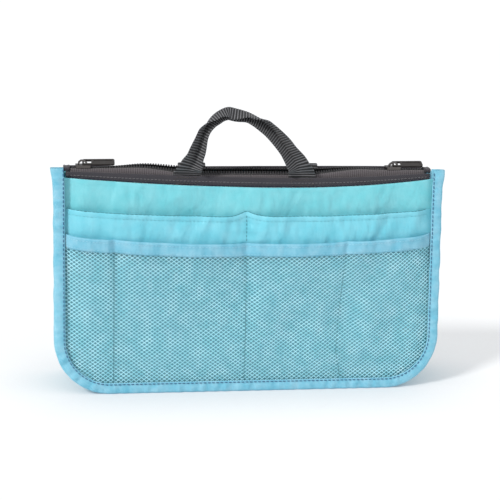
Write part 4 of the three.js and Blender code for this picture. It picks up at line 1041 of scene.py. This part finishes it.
def webbing(name, points, out, deep, opens, spread, material):
    """Ribbed webbing about a crease line. Each row opens to a side by an angle."""
    s = lengths(points)
    across = np.linspace(-1, 1, 23)
    bent = (np.sqrt(across ** 2 + 0.012) - 0.11) * WEBBING_HALF
    wide = WEBBING_HALF * across
    a, b = opens[:, None], spread[:, None]
    u = bent * np.cos(b) * np.cos(a) - wide * np.sin(b) * np.sin(a)
    v = bent * np.cos(b) * np.sin(a) + wide * np.sin(b) * np.cos(a)
    middle = points[:, None] + u[..., None] * out[:, None] + v[..., None] * deep[:, None]
    tangent_u, tangent_v = np.gradient(u, axis=1), np.gradient(v, axis=1)
    length = np.hypot(tangent_u, tangent_v)[..., None]
    normal = (-tangent_v[..., None] * out[:, None] + tangent_u[..., None] * deep[:, None]) / length
    rib = 0.5 + 0.5 * np.cos(2 * np.pi * s / RIB_PITCH)[:, None]
    edge = ease((1 - np.abs(across)) / 0.09)
    thick = (0.4 + 0.2 * rib) * (0.6 + 0.4 * edge)
    places = joined(s[:, None], wide)
    offset = normal * thick[..., None]
    return shell(name, middle + offset, middle - offset, places, material)


def webbing_material(name):
    """Black ribbed webbing: pale ridges across it and dark between."""
    material, tree = new_material(name)
    place = shade(tree, "UVMap", {"uv_map": "Place"}).outputs[0]
    split = shade(tree, "SeparateXYZ", i0=place)
    ridge = sums(tree, "COSINE", sums(tree, "MULTIPLY", split.outputs[0], 2 * math.pi / RIB_PITCH))
    fibre = shade(tree, "TexNoise", Vector=place, Scale=1.4, Detail=3.0)
    frayed = sums(tree, "MULTIPLY", sums(tree, "SUBTRACT", fibre.outputs[0], 0.5), 0.5)
    crest = sums(tree, "ADD", ridge, frayed)
    pale = shade(tree, "MapRange", i0=crest, i1=0.1, i2=0.8).outputs[0]
    cords = sums(tree, "SINE", sums(tree, "MULTIPLY", split.outputs[1], 2 * math.pi / 0.9))
    toned = shade(tree, "Mix", {"data_type": "RGBA"}, i0=pale, i6=(0.004, 0.004, 0.005, 1),
                  i7=(0.15, 0.15, 0.16, 1))
    worn = grouped(tree, mottle_and_sheen, Color=toned.outputs[2], Place=place, Size=6.0, Depth=0.5)
    bumped = shade(tree, "Bump", Strength=0.5, Distance=0.00015, Height=cords)
    cloth = shade(tree, "BsdfPrincipled", Base_Color=worn, Roughness=0.72, Normal=bumped.outputs[0])
    cloth.inputs["Sheen Weight"].default_value = 0.15
    shade(tree, "OutputMaterial", Surface=cloth.outputs[0])
    return material


black_webbing = webbing_material("webbing")
front_shares = [
    (0, 0), (0.05, 0.2), (0.093, 0.4), (0.14, 0.63), (0.19, 0.85), (0.255, 0.965), (0.34, 1.03),
    (0.41, 1.01), (0.51, 0.96), (0.615, 0.86), (0.71, 0.73), (0.8, 0.55), (0.88, 0.36),
    (0.95, 0.17), (1, 0),
]
front_opens = [
    (0, -0.5), (0.12, -0.48), (0.24, -0.45), (0.36, -0.7), (0.46, -0.86), (0.56, -0.66), (0.66, -0.58),
    (0.82, -0.53), (1, -0.5),
]
front_spread = [
    (0, 0.5), (0.05, 0.3), (0.12, 0.2), (0.24, 0.13), (0.36, 0.08), (0.46, 0.06), (0.56, 0.08),
    (0.66, 0.17), (0.82, 0.2), (0.94, 0.28), (1, 0.49),
]
leg_y, leg_z, rise, leg_length = -11.4, 157.8, 47, 9.5
first, last = FRONT_LEGS
knots = [(first + (last - first) * a, leg_y, leg_z + rise * b) for a, b in front_shares]
route = smooth_route(knots, 540)
share, out = facing_out(route, 1)
opens = along_table(front_opens, share) * np.pi
spread = along_table(front_spread, share) * np.pi
sewn = np.linspace(leg_length, 0, 31)[:-1]
legs = [joined(x, leg_y, leg_z - sewn) for x in FRONT_LEGS]
route, out = with_legs(route, out, legs)
opens, spread = (np.pad(angles, len(sewn), mode="edge") for angles in (opens, spread))
route[:, 1] += 1.5 * ease((163.5 - route[:, 2]) / 6.5)
deep = np.broadcast_to(np.array([0.0, 1, 0]), route.shape)
front_handle = webbing("front_handle_webbing", route, out, deep, opens, spread, black_webbing)
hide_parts("front_handle")
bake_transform(front_handle)


# Back handle: the same webbing, folded over the back facing's edge and hanging outside.
# It too is flat at the ends and folds along its middle.
BACK_LEGS = (-42, 42)
back_shares = [
    (-1, 0), (-1, 0.3), (-0.93, 0.62), (-0.6, 0.93), (0, 1),
    (0.6, 0.93), (0.93, 0.62), (1, 0.3), (1, 0),
]
hung_y, hung_z = 13.8, 160.3
knots = [(BACK_LEGS[1] * a, hung_y + 5 * b, hung_z - 40 * b) for a, b in back_shares]
route = smooth_route(knots, 460)
share, out = facing_out(route, -1)
folded = ease(1 - np.abs(2 * share - 1) * 1.4)
opens = np.pi * mix(0.5, 0.9, folded)
spread = np.pi * mix(0.5, 0.08, folded)
over = smooth_route([
    (0, 9.8, 151.5), (0, 9.8, 157), (0, 10, 161), (0, 11.8, 162.6), (0, 13.4, 161.6),
    (0, hung_y, hung_z),
], 50)[:-1]
turned = unit(np.gradient(over, axis=0))
deep_over = joined(0, -turned[:, 2], turned[:, 1])
route, out = with_legs(route, out, [over + np.array([x, 0, 0]) for x in BACK_LEGS])
opens, spread = (np.pad(angles, len(over), mode="edge") for angles in (opens, spread))
deep = np.concatenate([deep_over, np.tile([0.0, 1, 0], (len(share), 1)), deep_over[::-1]])
back_handle = webbing("back_handle_webbing", route, out, deep, opens, spread, black_webbing)
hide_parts("back_handle")
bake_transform(back_handle)


# Box stitching: where each end of a handle is sewn through its facing.
# Each box is one round of dark thread.
box_lines = []
leg_places = [(x, -1, front_top) for x in FRONT_LEGS] + [(x, 1, back_top) for x in BACK_LEGS]
for x, side, top in leg_places:
    foot = float(top(np.array(float(x)))) + 1.2
    head = foot + 4.2
    corners = [(x - 8, foot), (x + 8, foot), (x + 8, head), (x - 8, head), (x - 8, foot)]
    for (x0, z0), (x1, z1) in zip(corners[:-1], corners[1:]):
        xs, zs = np.linspace(x0, x1, 12), np.linspace(z0, z1, 12)
        depth = wall_depth(xs, np.minimum(zs, top(xs))) - 0.18
        box_lines.append((joined(xs, side * depth, zs), (0, side, 0)))
box_stitches = seam_thread("handle_box_stitches", box_lines, dark_thread, 1.9, 0.2)
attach(box_stitches, "pouch")
